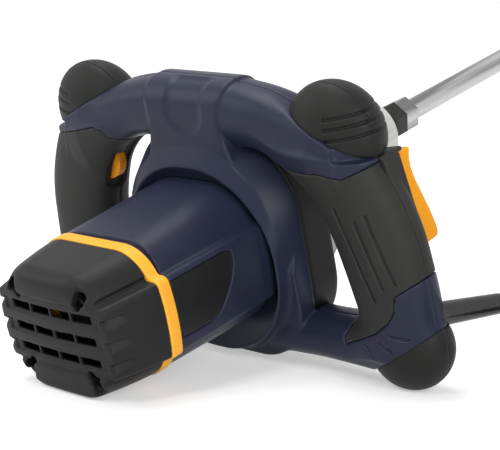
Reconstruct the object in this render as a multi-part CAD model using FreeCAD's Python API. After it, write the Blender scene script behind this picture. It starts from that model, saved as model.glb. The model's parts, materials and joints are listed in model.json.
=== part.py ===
import FreeCAD, Part
import os
from math import acos, atan2, cos, degrees, pi, radians, sin, sqrt, tan

Vec = FreeCAD.Vector

# Two-handed mixing drill. It is modelled along its own shaft first: Y runs from the motor tail to the
# mixing rod, Z up, X to the operator's right, with Y zero at the parting plane of the handle ring.
# It is then tilted until the tail and the two lower bumpers stand on the floor. Lengths are in millimetres.

# General fits
overrun = 4.0
seat_fit = 0.1
running_fit = 0.05
loose_fit = 0.4
slide_fit = 0.35
skin_fit = 0.1

# Motor housing, trim band and end cap
cap_length = 41.0
band_width = 8.5
housing_length = 79.5
collar_back = 22.0
stator_radius = 36.5
housing_wall = 3.2
barrel_half_width = 47.0
barrel_corner = 25.0
barrel_flare = 6.0
panel_half_width = 54.5
panel_half_height = 24.0
panel_corner = 6.0
panel_flare = 1.5
band_proud = 0.8
tail_half_width = 40.0
tail_half_height = 37.0
tail_corner = 22.0
tail_panel_half_width = 45.0
tail_panel_half_height = 19.0
end_wall = 4.0
cap_screw_x = 29.0
cap_screw_z = 26.0
cap_screw_radius = 2.5
cap_screw_head = 4.4
cap_boss_radius = 6.0
cap_screw_sink = 6.0
cap_screw_bite = 12.0
slot_row_pitch = 13.5
slot_height = 5.0
slot_width = 15.5
slot_pitch = 17.3
slot_rows = 3
slots_per_row = 4
plate_thickness = 1.0
plate_half_height = 17.0
plate_length = 58.0
plate_margin = 5.0

# Motor
stator_bore = 21.5
armature_radius = 20.5
core_length = 50.0
core_front = 30.0
coil_inner = 26.0
coil_outer = 32.5
coil_half_angle = 52.0
coil_overhang = 7.0
winding_radius = 17.5
winding_length = 7.0
notch_count = 12
commutator_radius = 13.5
commutator_length = 18.0
shaft_radius = 6.0
bracket_thickness = 6.0
bracket_inset = 1.5
bracket_boss_length = 12.0
bracket_boss_wall = 3.5
rear_bearing_bore = 4.0
rear_bearing_outer = 11.0
rear_bearing_width = 7.0
front_bearing_bore = 6.0
front_bearing_outer = 14.0
front_bearing_width = 8.0
brush_width = 7.0
brush_length = 15.0
brush_axial = 9.0
holder_wall = 1.2
holder_length = 18.0
fan_radius = 37.0
fan_hub_radius = 11.0
fan_plate = 2.0
fan_blade_depth = 9.0
fan_blade_thickness = 1.6
fan_blades = 11
fan_gap = 3.0

# Gear train: both stages share one layshaft straight below the motor axis
pressure_angle = 25.0
first_module = 1.25
first_pinion_teeth = 9
first_gear_teeth = 31
second_module = 1.5
second_pinion_teeth = 9
second_gear_teeth = 43
addendum_share = 0.8
dedendum_share = 1.05
backlash = 0.24
first_gear_width = 12.0
second_gear_width = 16.0
gear_side_gap = 1.5
layshaft_radius = 5.0
lay_bearing_bore = 3.0
lay_bearing_outer = 9.5
lay_bearing_width = 6.0
gear_hub_radius = 14.0

# Gear case, drum cover and bearing plate
plate_radius = 60.0
bearing_plate_width = 10.0
gear_flange_width = 8.0
case_radius = 53.0
case_wall = 3.5
case_drop = 11.0
case_rest_length = 30.0
cone_radius = 44.0
cone_length = 58.0
nose_radius = 22.5
nose_y = 153.0
lay_boss_wall = 4.5
case_screw_radius = 2.5
case_screw_head = 4.2
case_screw_count = 6
case_screw_circle = 56.4

# Spindle and mixing rod
spindle_radius = 8.5
spindle_bearing_outer = 17.5
spindle_bearing_width = 10.0
spindle_bearing_inset = 12.0
spindle_head_radius = 13.0
spindle_head_gap = 1.0
spindle_head_length = 25.0
spindle_flat_length = 12.0
spindle_flat_half = 11.2
hexagon_turn = 22.0
seal_width = 4.0
seal_outer = 15.0
rod_radius = 7.0
bar_radius = 7.5
rod_thread_length = 20.0
rod_length = 179.0
nut_half_flats = 11.0
nut_length = 13.0
coupling_length = 32.0
coupling_half_flats = 11.0
coupling_hole_radius = 6.0
coupling_hole_depth = 25.0

# Handle ring
drum_half_width = 68.5
drum_half_height = 71.0
drum_corner = 50.0
drum_back = 3.0
drum_front = 22.0
drum_hollow_back = 14.0
foot_half_width = 67.5
foot_corner = 40.0
foot_back = 17.0
foot_low = 8.0
foot_top = 20.0
collar_rim = 26.0
collar_half_width = 61.5
collar_half_height = 61.0
collar_corner = 58.5
collar_drop = 5.5
shoulder_back = 20.5
shoulder_half_width = 63.0
shoulder_half_height = 67.5
shoulder_corner = 60.0
shoulder_drop = 0.5
shell_wall = 3.5
lip_depth = 5.0
lip_width = 9.0
ring_reach = 157.6
bar_height = 86.0
sole_depth = 55.0
arm_half = 20.0
grip_half = 29.0
lower_half = 16.0
handle_depth = 19.5
cover_thickness = 2.6
cover_top = 58.0
cover_outer_foot = 5.0
cover_inner_foot = 38.0
neck_half_width = 36.0
neck_half_depth = 20.5

# Outline stations of the ring's limbs, as shares of the sizes just above
section_power = 2.4
neck_power = 4.5
section_points = 20
top_arm_shares = [(0.0, 0.994, 0.975, 1.0), (0.22, 0.988, 0.95, 1.0), (0.37, 0.951, 0.92, 1.0),
                  (0.5, 0.884, 0.91, 1.0), (0.6, 0.824, 1.0, 1.02), (0.68, 0.77, 1.05, 1.03)]
grip_shares = [(0.73, 0.645, 1.06, 1.0), (0.56, 0.701, 1.05, 1.0), (0.35, 0.755, 1.02, 1.0),
               (0.17, 0.786, 0.985, 1.0), (0.0, 0.806, 0.95, 1.0), (-0.17, 0.823, 0.915, 1.0),
               (-0.33, 0.834, 0.88, 1.0), (-0.47, 0.834, 0.89, 1.0), (-0.58, 0.822, 0.86, 0.98)]
lower_arm_shares = [(0.27, 0.98, 0.95, 0.97), (0.5, 0.97, 0.86, 0.95), (0.66, 0.958, 0.95, 0.97),
                    (0.8, 0.92, 1.18, 1.0)]
neck_shares = [(0.5, 1.2, 1.0), (0.67, 1.0, 1.0), (0.85, 0.87, 1.0), (0.98, 0.83, 1.0), (1.1, 0.86, 0.94),
               (1.175, 0.9, 0.78), (1.22, 0.92, 0.56), (1.248, 0.92, 0.25)]
upper_cut_shares = [(0.447, 1.115), (0.84, 0.765)]
lower_cut_shares = [(0.715, -0.784), (1.005, -0.434)]
rounding_limit_share = 0.96

# Bumpers
upper_bumper_half_length = 32.0
upper_bumper_back_depth = 19.5
upper_bumper_front_depth = 26.0
upper_bumper_height = 27.0
lower_bumper_half_length = 28.0
lower_bumper_back_depth = 20.0
lower_bumper_front_depth = 22.5
lower_bumper_height = 26.0
corner_inset = 3.0

# Handle screws
handle_screw_radius = 2.0
handle_screw_head = 3.8
handle_screw_length = 20.0
handle_screw_sink = 12.0
handle_post_radius = 5.5
handle_screw_shares = [(0.42, 0.93), (0.575, 0.75), (0.53, -0.63), (0.83, -0.3)]

# Trigger, switch and speed control
trigger_x = 129.5
trigger_z = 33.0
trigger_lean = 11.0
trigger_half_width = 8.5
trigger_half_height = 28.0
trigger_back = 9.0
trigger_reach = 32.0
trigger_travel = 7.0
trigger_reach_shares = (0.88, 0.79, 1.0, 0.96)
trigger_rest_share = 0.55
trigger_belly_share = 0.68
spring_radius = 2.8
spring_bore = 1.8
spring_length = 14.0
switch_half_width = 8.0
switch_half_height = 14.0
switch_front = 1.0
switch_depth = 9.0
wheel_radius = 13.5
wheel_half_thickness = 3.0
wheel_x = 95.0
wheel_y = -3.0
wheel_z = 43.5
knurl_count = 36
knurl_radius = 0.5
wheel_axle_radius = 2.0
wheel_axle_length = 6.0
control_half_width = 8.0
control_depth = 8.0
control_shift = 5.0

# Cord, strain relief, terminal block and plug
cord_radius = 4.2
boot_root_radius = 7.2
boot_tip_radius = 5.7
boot_length = 52.0
boot_tail = 8.0
boot_flange_radius = 8.6
boot_flange = 2.4
exit_x = 151.0
exit_y = 13.5
exit_z = -34.0
exit_heading = 62.0
exit_dip = 8.0
terminal_half_length = 10.0
terminal_half_height = 4.0
terminal_thickness = 4.0
terminal_screw_radius = 1.6
terminal_x = 128.0
terminal_z = -38.0
terminal_front = 0.0
cord_lead = 26.0
cord_route = [(198.0, 11.0, 59.0), (214.0, 38.0, 45.0), (240.0, 59.0, 26.0), (273.0, 65.0, 11.0),
              (304.0, 51.0, 5.9), (320.0, 24.0, 5.9)]
coil_turns_per_layer = 3
coil_layers = 2
coil_mean_radius = 48.0
coil_pitch = 9.2
coil_floor_gap = 1.7
coil_steps_per_turn = 4
arc_run_share = 0.45
climb_turn_share = 0.5
difference_share = 1e-4
plug_half_width = 18.0
plug_half_height = 14.5
plug_length = 42.0
plug_corner = 9.0
plug_neck_radius = 6.8
plug_neck_tip = 4.5
plug_neck_length = 40.0
pin_radius = 2.4
pin_length = 19.0
pin_spacing = 19.0
tie_width = 12.0
tie_thickness = 1.2
tie_gap = 1.0
tie_under_gap = 0.2


def y_line(radius, start, end, x=0, z=0):
    """A round bar along the shaft direction."""
    return Part.makeCylinder(radius, end - start, Vec(x, start, z), Vec(0, 1, 0))


def y_tube(outer, inner, start, end, x=0, z=0):
    return y_line(outer, start, end, x, z).cut(y_line(inner, start - overrun, end + overrun, x, z))


def block(x0, x1, y0, y1, z0, z1):
    return Part.makeBox(x1 - x0, y1 - y0, z1 - z0, Vec(x0, y0, z0))


def fused(shapes):
    first = shapes[0]
    return first.fuse(shapes[1:]).removeSplitter() if len(shapes) > 1 else first


def mirrored(shape):
    return shape.mirror(Vec(0, 0, 0), Vec(1, 0, 0))


def both_sides(shape):
    return [shape, mirrored(shape)]


def rounded_wire(half_width, half_height, corner, y):
    """A rounded rectangle in a plane square to the shaft."""
    radius = min(corner, half_width * rounding_limit_share, half_height * rounding_limit_share)
    across, up = half_width - radius, half_height - radius
    slant = radius * sqrt(0.5)
    edges = []
    for sx, sz in ((1, 1), (-1, 1), (-1, -1), (1, -1)):
        start, end = Vec(sx * half_width, y, sz * up), Vec(sx * across, y, sz * half_height)
        middle = Vec(sx * (across + slant), y, sz * (up + slant))
        edges.append((start, middle, end) if sx * sz > 0 else (end, middle, start))
    wire = []
    for here, following in zip(edges, edges[1:] + edges[:1]):
        wire.append(Part.Arc(*here).toShape())
        wire.append(Part.LineSegment(here[2], following[0]).toShape())
    return Part.Wire(wire)


def rounded_loft(first, second):
    """A straight-sided solid between two rounded rectangles, each (half_width, half_height, corner, y)."""
    return Part.makeLoft([rounded_wire(*first), rounded_wire(*second)], True, True)


def rounded_slab(half_width, half_height, corner, start, end):
    return rounded_loft((half_width, half_height, corner, start), (half_width, half_height, corner, end))


def section_wire(place, half_a, half_b, power=section_power):
    """A closed squarish oval: place(a, b) puts its two cross directions into space."""
    points = []
    for step in range(section_points):
        angle = 2 * pi * step / section_points
        c, s = cos(angle), sin(angle)
        a = half_a * (abs(c) ** (2 / power)) * (1 if c >= 0 else -1)
        b = half_b * (abs(s) ** (2 / power)) * (1 if s >= 0 else -1)
        points.append(place(a, b))
    curve = Part.BSplineCurve()
    curve.interpolate(points, True)
    return Part.Wire(curve.toShape())


def top_arm(inset):
    wires = []
    for x_share, z_share, half_share, depth_share in top_arm_shares:
        x, z = x_share * ring_reach, z_share * bar_height
        wires.append(section_wire(lambda a, b: Vec(x, b, z + a), arm_half * half_share - inset,
                                  handle_depth * depth_share - inset))
    return Part.makeLoft(wires, True, False)


def grip(inset):
    wires = []
    for z_share, x_share, half_share, depth_share in grip_shares:
        x, z = x_share * ring_reach, z_share * bar_height
        wires.append(section_wire(lambda a, b: Vec(x + a, b, z), grip_half * half_share - inset,
                                  handle_depth * depth_share - inset))
    return Part.makeLoft(wires, True, False)


def lower_arm(inset):
    wires = []
    for x_share, z_share, half_share, depth_share in lower_arm_shares:
        x, z = x_share * ring_reach, -z_share * sole_depth
        wires.append(section_wire(lambda a, b: Vec(x, b, z + a), lower_half * half_share - inset,
                                  handle_depth * depth_share - inset))
    return Part.makeLoft(wires, True, False)


def neck(inset):
    wires = []
    for z_share, width_share, depth_share in neck_shares:
        z = z_share * bar_height
        if neck_half_depth * depth_share > inset + inset:
            wires.append(section_wire(lambda a, b: Vec(a, b, z), neck_half_width * width_share - inset,
                                      neck_half_depth * depth_share - inset, neck_power))
    return Part.makeLoft(wires, True, False)


def cut_plane(shares):
    """Middle, direction along and outward normal of the flat that a bumper sits on."""
    (xa, za), (xb, zb) = shares
    first = Vec(xa * ring_reach, 0, za * bar_height)
    second = Vec(xb * ring_reach, 0, zb * bar_height)
    along = (second - first).normalize()
    normal = Vec(-along.z, 0, along.x)
    if normal.dot(first + second) < 0:
        normal = -normal
    return (first + second) * 0.5, along, normal


def plane_frame(shares):
    middle, along, normal = cut_plane(shares)
    depth = normal.cross(along)
    return FreeCAD.Matrix(along.x, depth.x, normal.x, middle.x, along.y, depth.y, normal.y, middle.y,
                          along.z, depth.z, normal.z, middle.z, 0, 0, 0, 1)


def ellipsoid(shares, half_length, half_depth, height):
    ball = Part.makeSphere(1)
    stretch = FreeCAD.Matrix()
    stretch.scale(half_length, half_depth, height)
    return ball.transformGeometry(plane_frame(shares) * stretch)


def outside_of(shares, lift, reach):
    """The space beyond a bumper's flat, lifted off it by a fit."""
    box = block(-reach, reach, -reach, reach, lift, reach)
    return box.transformGeometry(plane_frame(shares))


def oval_offset(shares, half_length, half_depth, height, direction):
    """How far an ellipsoid on a bumper flat reaches in a direction, from its middle."""
    middle, along, normal = cut_plane(shares)
    depth = normal.cross(along)
    spread = [half_length * along.dot(direction), half_depth * depth.dot(direction), height * normal.dot(direction)]
    return middle.dot(direction) + sqrt(sum(part * part for part in spread))


# Places along the shaft
y_housing_front = -collar_back
y_band_front = y_housing_front - housing_length
y_band_back = y_band_front - band_width
y_tail = y_band_back - cap_length
barrel_half_height = stator_radius + seat_fit + housing_wall
y_core_front = -core_front
y_core_back = y_core_front - core_length
y_commutator_front = y_core_back - winding_length - gear_side_gap
y_commutator_back = y_commutator_front - commutator_length
y_bracket_front = y_commutator_back - gear_side_gap - holder_wall
y_bracket_back = y_bracket_front - bracket_thickness
y_boss_back = y_bracket_front - bracket_boss_length
y_rear_bearing = y_boss_back + gear_side_gap
y_plate_front = bearing_plate_width
y_flange_front = y_plate_front + gear_flange_width
y_first_gear = y_plate_front + gear_side_gap
y_second_gear = y_first_gear + first_gear_width + gear_side_gap + gear_side_gap
y_second_end = y_second_gear + second_gear_width
y_lay_front_bearing = y_second_end + gear_side_gap
y_case_front = y_lay_front_bearing + lay_bearing_width + lay_boss_wall
y_fan_back = -fan_gap - fan_blade_depth - fan_plate - lip_depth
first_pinion_radius = first_module * first_pinion_teeth / 2
first_gear_radius = first_module * first_gear_teeth / 2
second_pinion_radius = second_module * second_pinion_teeth / 2
second_gear_radius = second_module * second_gear_teeth / 2
z_lay = -(first_pinion_radius + first_gear_radius)
z_spindle = z_lay + second_pinion_radius + second_gear_radius
z_case = z_spindle - case_drop
y_spindle_rear_bearing = y_second_end + gear_side_gap
y_spindle_front_bearing = nose_y - spindle_bearing_inset - spindle_bearing_width
y_head = nose_y + spindle_head_gap
y_head_end = y_head + spindle_head_length
y_nut_end = y_head_end + nut_length
y_rod_end = y_nut_end + rod_length


def barrel(y, grow):
    """The motor section's main rounded rectangle, which flares from the band to the ring."""
    share = (y - y_band_front) / housing_length
    flare = barrel_flare * max(share, 0)
    return (barrel_half_width + flare / 2 + grow, barrel_half_height + flare + grow, barrel_corner + grow, y)


def panel(y, grow):
    """The side panels' section, wider and lower than the barrel."""
    share = (y - y_band_front) / housing_length
    return (panel_half_width + panel_flare * max(share, 0) + grow, panel_half_height + grow, panel_corner + grow, y)


def motor_form(start, end, grow):
    return fused([rounded_loft(barrel(start, grow), barrel(end, grow)),
                  rounded_loft(panel(start, grow), panel(end, grow))])


def cap_form(grow, start, end):
    """The tapering end cap between its end face and the band, cut to a stretch of its length."""
    shapes = []
    for wide, narrow in (((barrel_half_width, barrel_half_height, barrel_corner),
                          (tail_half_width, tail_half_height, tail_corner)),
                         ((panel_half_width, panel_half_height, panel_corner),
                          (tail_panel_half_width, tail_panel_half_height, panel_corner))):
        first = tuple(value + grow for value in narrow) + (y_tail,)
        second = tuple(value + grow for value in wide) + (y_band_back,)
        shapes.append(rounded_loft(first, second))
    reach = panel_half_width + barrel_half_height
    return fused(shapes).common(block(-reach, reach, start, end, -reach, reach))


def cap_screw_places():
    return [(sx * cap_screw_x, sz * cap_screw_z) for sx in (-1, 1) for sz in (-1, 1)]


def screw_boss(x, z, start, end):
    """A round screw boss with a rib to the wall above or below it."""
    low, high = sorted((z, (barrel_half_height + barrel_flare) * (1 if z > 0 else -1)))
    rib = block(x - cap_screw_radius, x + cap_screw_radius, start, end, low, high)
    return y_line(cap_boss_radius, start, end, x, z).fuse(rib).removeSplitter()


def rear_cap():
    body = cap_form(0, y_tail, y_band_back)
    hollow = cap_form(-housing_wall, y_tail + end_wall, y_band_back)
    hollow = hollow.fuse(motor_form(y_band_back, y_band_back + overrun, -housing_wall))
    for x, z in cap_screw_places():
        hollow = hollow.cut(y_line(cap_boss_radius, y_tail, y_band_back + overrun, x, z))
    body = body.cut(hollow)
    for row in range(slot_rows):
        z = (row - (slot_rows - 1) / 2) * slot_row_pitch
        for column in range(slots_per_row):
            x = (column - (slots_per_row - 1) / 2) * slot_pitch
            body = body.cut(block(x - slot_width / 2, x + slot_width / 2, y_tail - overrun,
                                  y_tail + end_wall + overrun, z - slot_height / 2, z + slot_height / 2))
    for x, z in cap_screw_places():
        body = body.cut(y_line(cap_screw_head + seat_fit, y_tail - overrun, y_tail + cap_screw_sink, x, z))
        body = body.cut(y_line(cap_screw_radius + seat_fit, y_tail, y_band_back + overrun, x, z))
    return body


def rear_cap_screws():
    screws = []
    for x, z in cap_screw_places():
        head = y_line(cap_screw_head, y_tail + cap_screw_sink - cap_screw_radius, y_tail + cap_screw_sink, x, z)
        shank = y_line(cap_screw_radius, y_tail + cap_screw_sink, y_band_front + cap_screw_bite, x, z)
        screws.append(head.fuse(shank).removeSplitter())
    return Part.makeCompound(screws)


def cap_screw_holes(start, end):
    return fused([y_line(cap_screw_radius + seat_fit, start, end, x, z) for x, z in cap_screw_places()])


def trim_band():
    ring = motor_form(y_band_back, y_band_front, band_proud)
    ring = ring.cut(motor_form(y_band_back - overrun, y_band_front + overrun, -housing_wall))
    core = motor_form(y_band_back, y_band_front, 0)
    bosses = [screw_boss(x, z, y_band_back, y_band_front).common(core) for x, z in cap_screw_places()]
    ring = ring.fuse(bosses).removeSplitter()
    return ring.cut(cap_screw_holes(y_band_back - overrun, y_band_front + overrun))


def plate_box(grow):
    start = y_band_front + plate_margin
    reach = panel_half_width + panel_flare + overrun
    return block(barrel_half_width, reach, start - grow, start + plate_length + grow,
                 -plate_half_height - grow, plate_half_height + grow)


def side_plate():
    outer = rounded_loft(panel(y_band_front, 0), panel(y_housing_front, 0))
    inner = rounded_loft(panel(y_band_front, -plate_thickness), panel(y_housing_front, -plate_thickness))
    return outer.cut(inner).common(plate_box(0))


def motor_housing():
    body = motor_form(y_band_front, y_housing_front, 0)
    hollow = motor_form(y_band_front, y_housing_front, -housing_wall)
    bosses = [screw_boss(x, z, y_band_front, y_band_front + cap_screw_bite + overrun)
              for x, z in cap_screw_places()]
    seat = y_tube(stator_radius + housing_wall, stator_radius + seat_fit, y_core_back, y_core_front)
    inside = body.cut(hollow)
    body = inside.fuse([boss.common(body) for boss in bosses] + [seat.common(body)]).removeSplitter()
    body = body.cut(cap_screw_holes(y_band_front - overrun, y_band_front + cap_screw_bite + seat_fit))
    recess = rounded_loft(panel(y_band_front, overrun), panel(y_housing_front, overrun))
    recess = recess.cut(rounded_loft(panel(y_band_front, -plate_thickness - skin_fit),
                                     panel(y_housing_front, -plate_thickness - skin_fit)))
    recess = recess.common(plate_box(skin_fit))
    return body.cut(recess).cut(mirrored(recess))


def sector(inner, outer, half_angle, start, end):
    """A part ring about the motor axis, centred on straight up."""
    pts = []
    for radius, angles in ((outer, (-1, 0, 1)), (inner, (1, 0, -1))):
        for step in angles:
            angle = radians(90 + step * half_angle)
            pts.append(Vec(radius * cos(angle), start, radius * sin(angle)))
    edges = [Part.Arc(pts[0], pts[1], pts[2]).toShape(), Part.LineSegment(pts[2], pts[3]).toShape(),
             Part.Arc(pts[3], pts[4], pts[5]).toShape(), Part.LineSegment(pts[5], pts[0]).toShape()]
    return Part.Face(Part.Wire(edges)).extrude(Vec(0, end - start, 0))


def half_turn(shape):
    turned = shape.copy()
    turned.rotate(Vec(0, 0, 0), Vec(0, 1, 0), 180)
    return turned


def stator_core():
    ring = y_tube(stator_radius, stator_bore, y_core_back, y_core_front)
    slot = sector(coil_inner - seat_fit, coil_outer + seat_fit, coil_half_angle + degrees(seat_fit / coil_inner),
                  y_core_back - overrun, y_core_front + overrun)
    return ring.cut(slot).cut(half_turn(slot))


def field_coils():
    coil = sector(coil_inner, coil_outer, coil_half_angle, y_core_back - coil_overhang, y_core_front + coil_overhang)
    return Part.makeCompound([coil, half_turn(coil)])


def brush_bracket():
    plate = y_line(stator_radius - bracket_inset, y_bracket_back, y_bracket_front)
    boss = y_line(rear_bearing_outer + bracket_boss_wall, y_boss_back, y_bracket_front)
    body = plate.fuse(boss).removeSplitter()
    for x, z in cap_screw_places():
        body = body.cut(y_line(cap_boss_radius + seat_fit, y_boss_back - overrun, y_bracket_front + overrun, x, z))
    body = body.cut(y_line(rear_bearing_outer + seat_fit, y_rear_bearing, y_rear_bearing + rear_bearing_width))
    return body.cut(y_line(shaft_radius + loose_fit, y_rear_bearing, y_bracket_front + overrun))


def y_brush():
    return (y_commutator_front + y_commutator_back) / 2


def brush_box(start, end, grow):
    half = brush_width / 2 + grow
    deep = brush_axial / 2 + grow
    return block(start, end, y_brush() - deep, y_brush() + deep, -half, half)


def brush_holders():
    start = commutator_radius + loose_fit + holder_wall
    box = brush_box(start, start + holder_length, seat_fit + holder_wall)
    box = box.cut(brush_box(start - overrun, start + holder_length - holder_wall, seat_fit))
    half = brush_width / 2
    foot = block(start, start + holder_length, y_bracket_front, y_brush() - brush_axial / 2 - seat_fit, -half, half)
    return Part.makeCompound(both_sides(box.fuse(foot).removeSplitter()))


def carbon_brushes():
    start = commutator_radius + running_fit
    return Part.makeCompound(both_sides(brush_box(start, start + brush_length, 0)))


def ring_bearing(bore, outer, width, start, z):
    ring = y_tube(outer, bore, start, start + width, 0, z)
    groove = y_tube((bore + outer) / 2 + holder_wall, (bore + outer) / 2 - holder_wall, start, start + holder_wall, 0, z)
    return ring.cut(groove)


def tooth_edges(teeth, module, thin, first_angle):
    """One outline edge list of a spur gear with involute flanks, teeth thinned for backlash."""
    pitch_r = module * teeth / 2
    base_r = pitch_r * cos(radians(pressure_angle))
    tip_r = pitch_r + module * addendum_share
    root_r = pitch_r - module * dedendum_share
    flank_r = max(base_r, root_r)
    half_at_pitch = pi / (2 * teeth) - thin / (2 * pitch_r)

    def involute(radius):
        angle = acos(min(base_r / radius, 1))
        return tan(angle) - angle

    def half_angle(radius):
        return half_at_pitch + involute(pitch_r) - involute(radius)

    def point(radius, angle):
        return Vec(radius * cos(angle), radius * sin(angle), 0)

    middle_r = (flank_r + tip_r) / 2
    edges = []
    for tooth in range(teeth):
        centre = first_angle + 2 * pi * tooth / teeth
        left, right = centre + half_angle(flank_r), centre - half_angle(flank_r)
        following = centre + 2 * pi / teeth - half_angle(flank_r)
        if root_r < flank_r:
            edges.append(Part.LineSegment(point(root_r, right), point(flank_r, right)))
        edges.append(Part.Arc(point(flank_r, right), point(middle_r, centre - half_angle(middle_r)),
                              point(tip_r, centre - half_angle(tip_r))))
        edges.append(Part.Arc(point(tip_r, centre - half_angle(tip_r)), point(tip_r, centre),
                              point(tip_r, centre + half_angle(tip_r))))
        edges.append(Part.Arc(point(tip_r, centre + half_angle(tip_r)),
                              point(middle_r, centre + half_angle(middle_r)), point(flank_r, left)))
        if root_r < flank_r:
            edges.append(Part.LineSegment(point(flank_r, left), point(root_r, left)))
        edges.append(Part.Arc(point(root_r, left), point(root_r, (left + following) / 2), point(root_r, following)))
    return [edge.toShape() for edge in edges]


def gear(teeth, module, start, width, z, first_angle):
    """A spur gear about an axis along the shaft; angles turn from X towards -Z."""
    face = Part.Face(Part.Wire(tooth_edges(teeth, module, backlash / 2, first_angle)))
    body = face.extrude(Vec(0, 0, width))
    body.rotate(Vec(0, 0, 0), Vec(1, 0, 0), -90)
    body.translate(Vec(0, start, z))
    return body


def armature_shaft():
    tail = y_line(rear_bearing_bore - running_fit, y_rear_bearing + running_fit,
                  y_rear_bearing + rear_bearing_width + gear_side_gap)
    body = y_line(shaft_radius - seat_fit, y_rear_bearing + rear_bearing_width + gear_side_gap, y_first_gear)
    journal = y_plate_front - front_bearing_width
    body = body.cut(y_tube(shaft_radius + overrun, front_bearing_bore - running_fit, journal, y_first_gear))
    pinion = gear(first_pinion_teeth, first_module, y_first_gear, first_gear_width, 0, pi / 2)
    return fused([tail, body, pinion])


def armature_core():
    core = y_tube(armature_radius, shaft_radius, y_core_back, y_core_front)
    notch = block(armature_radius - gear_side_gap, armature_radius + overrun, y_core_back - overrun,
                  y_core_front + overrun, -gear_side_gap / 2, gear_side_gap / 2)
    for step in range(notch_count):
        turned = notch.copy()
        turned.rotate(Vec(0, 0, 0), Vec(0, 1, 0), 360 * step / notch_count)
        core = core.cut(turned)
    return core


def armature_windings():
    heads = [y_tube(winding_radius, shaft_radius, y_core_back - winding_length, y_core_back),
             y_tube(winding_radius, shaft_radius, y_core_front, y_core_front + winding_length)]
    return Part.makeCompound(heads)


def commutator():
    return y_tube(commutator_radius, shaft_radius, y_commutator_back, y_commutator_front)


def fan():
    """Radial fan in front of the armature, its plate towards the gears."""
    plate_back = y_fan_back + fan_blade_depth
    body = y_line(fan_radius, plate_back, plate_back + fan_plate)
    body = body.fuse(y_line(fan_hub_radius, y_fan_back, plate_back + fan_plate))
    blade = block(fan_hub_radius - fan_blade_thickness, fan_radius - fan_blade_thickness, y_fan_back, plate_back,
                  -fan_blade_thickness / 2, fan_blade_thickness / 2)
    for step in range(fan_blades):
        turned = blade.copy()
        turned.rotate(Vec(0, 0, 0), Vec(0, 1, 0), 360 * step / fan_blades)
        body = body.fuse(turned)
    return body.removeSplitter().cut(y_line(shaft_radius, y_fan_back - overrun, plate_back + fan_plate + overrun))


def case_screw_places():
    places = []
    for step in range(case_screw_count):
        angle = 2 * pi * (step + 0.5) / case_screw_count
        places.append((case_screw_circle * sin(angle), case_screw_circle * cos(angle)))
    return places


def bearing_plate():
    body = y_line(plate_radius, 0, y_plate_front)
    body = body.cut(y_line(front_bearing_outer + seat_fit, y_plate_front - front_bearing_width, y_plate_front + overrun))
    body = body.cut(y_line(shaft_radius + loose_fit, -overrun, y_plate_front))
    body = body.cut(y_line(lay_bearing_outer + seat_fit, y_plate_front - lay_bearing_width, y_plate_front + overrun,
                           0, z_lay))
    for x, z in case_screw_places():
        body = body.cut(y_line(case_screw_radius + seat_fit, -overrun, y_plate_front + overrun, x, z))
    return body


def gear_case():
    y_cone_end = y_case_front + cone_length
    y_inside = y_second_end + gear_side_gap
    outer = [y_line(plate_radius, y_plate_front, y_flange_front),
             y_line(case_radius, y_plate_front, y_inside + case_wall, 0, z_case),
             y_line(cone_radius, y_inside, y_case_front, 0, z_spindle),
             y_line(lay_bearing_outer + lay_boss_wall, y_inside, y_case_front, 0, z_lay),
             Part.makeCone(cone_radius, nose_radius, cone_length, Vec(0, y_case_front, z_spindle), Vec(0, 1, 0)),
             y_line(nose_radius, y_cone_end, nose_y, 0, z_spindle)]
    body = fused(outer)
    hollow = y_line(case_radius - case_wall, y_plate_front - overrun, y_inside, 0, z_case)
    body = body.cut(hollow)
    lay_seat = y_line(lay_bearing_outer + seat_fit, y_inside - overrun, y_lay_front_bearing + lay_bearing_width, 0, z_lay)
    rear_seat = y_line(spindle_bearing_outer + seat_fit, y_inside - overrun,
                       y_spindle_rear_bearing + spindle_bearing_width, 0, z_spindle)
    front_seat = y_line(spindle_bearing_outer + seat_fit, y_spindle_front_bearing,
                        y_spindle_front_bearing + spindle_bearing_width, 0, z_spindle)
    seal_seat = y_line(seal_outer + seat_fit, nose_y - seal_width, nose_y + overrun, 0, z_spindle)
    bore = y_line(spindle_head_radius, y_inside, nose_y + overrun, 0, z_spindle)
    for cutter in (lay_seat, rear_seat, front_seat, seal_seat, bore):
        body = body.cut(cutter)
    for x, z in case_screw_places():
        body = body.cut(y_line(case_screw_radius + seat_fit, y_plate_front - overrun, y_flange_front + overrun, x, z))
    return body


def gear_case_screws():
    screws = []
    for x, z in case_screw_places():
        head = y_line(case_screw_head, -case_screw_radius, 0, x, z)
        screws.append(head.fuse(y_line(case_screw_radius, 0, y_flange_front, x, z)).removeSplitter())
    return Part.makeCompound(screws)


def layshaft():
    rear = y_plate_front - lay_bearing_width
    ends = y_line(lay_bearing_bore - running_fit, rear, y_lay_front_bearing + lay_bearing_width, 0, z_lay)
    body = y_line(layshaft_radius, y_first_gear - gear_side_gap / 2, y_second_gear, 0, z_lay)
    pinion = gear(second_pinion_teeth, second_module, y_second_gear, second_gear_width, z_lay, -pi / 2)
    return fused([ends, body, pinion])


def layshaft_gear():
    wheel = gear(first_gear_teeth, first_module, y_first_gear, first_gear_width, z_lay,
                 -pi / 2 + pi / first_gear_teeth)
    return wheel.cut(y_line(layshaft_radius, y_first_gear - overrun, y_second_gear, 0, z_lay))


def spindle_gear():
    wheel = gear(second_gear_teeth, second_module, y_second_gear, second_gear_width, z_spindle,
                 pi / 2 + pi / second_gear_teeth)
    return wheel.cut(y_line(spindle_radius, y_second_gear - overrun, y_second_end + overrun, 0, z_spindle))


def hexagon(half_flats, start, end, z):
    corner = half_flats / cos(pi / 6)
    angles = [radians(hexagon_turn) + pi / 3 * (step % 6) for step in range(7)]
    points = [Vec(corner * cos(angle), start, z + corner * sin(angle)) for angle in angles]
    return Part.Face(Part.makePolygon(points)).extrude(Vec(0, end - start, 0))


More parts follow.
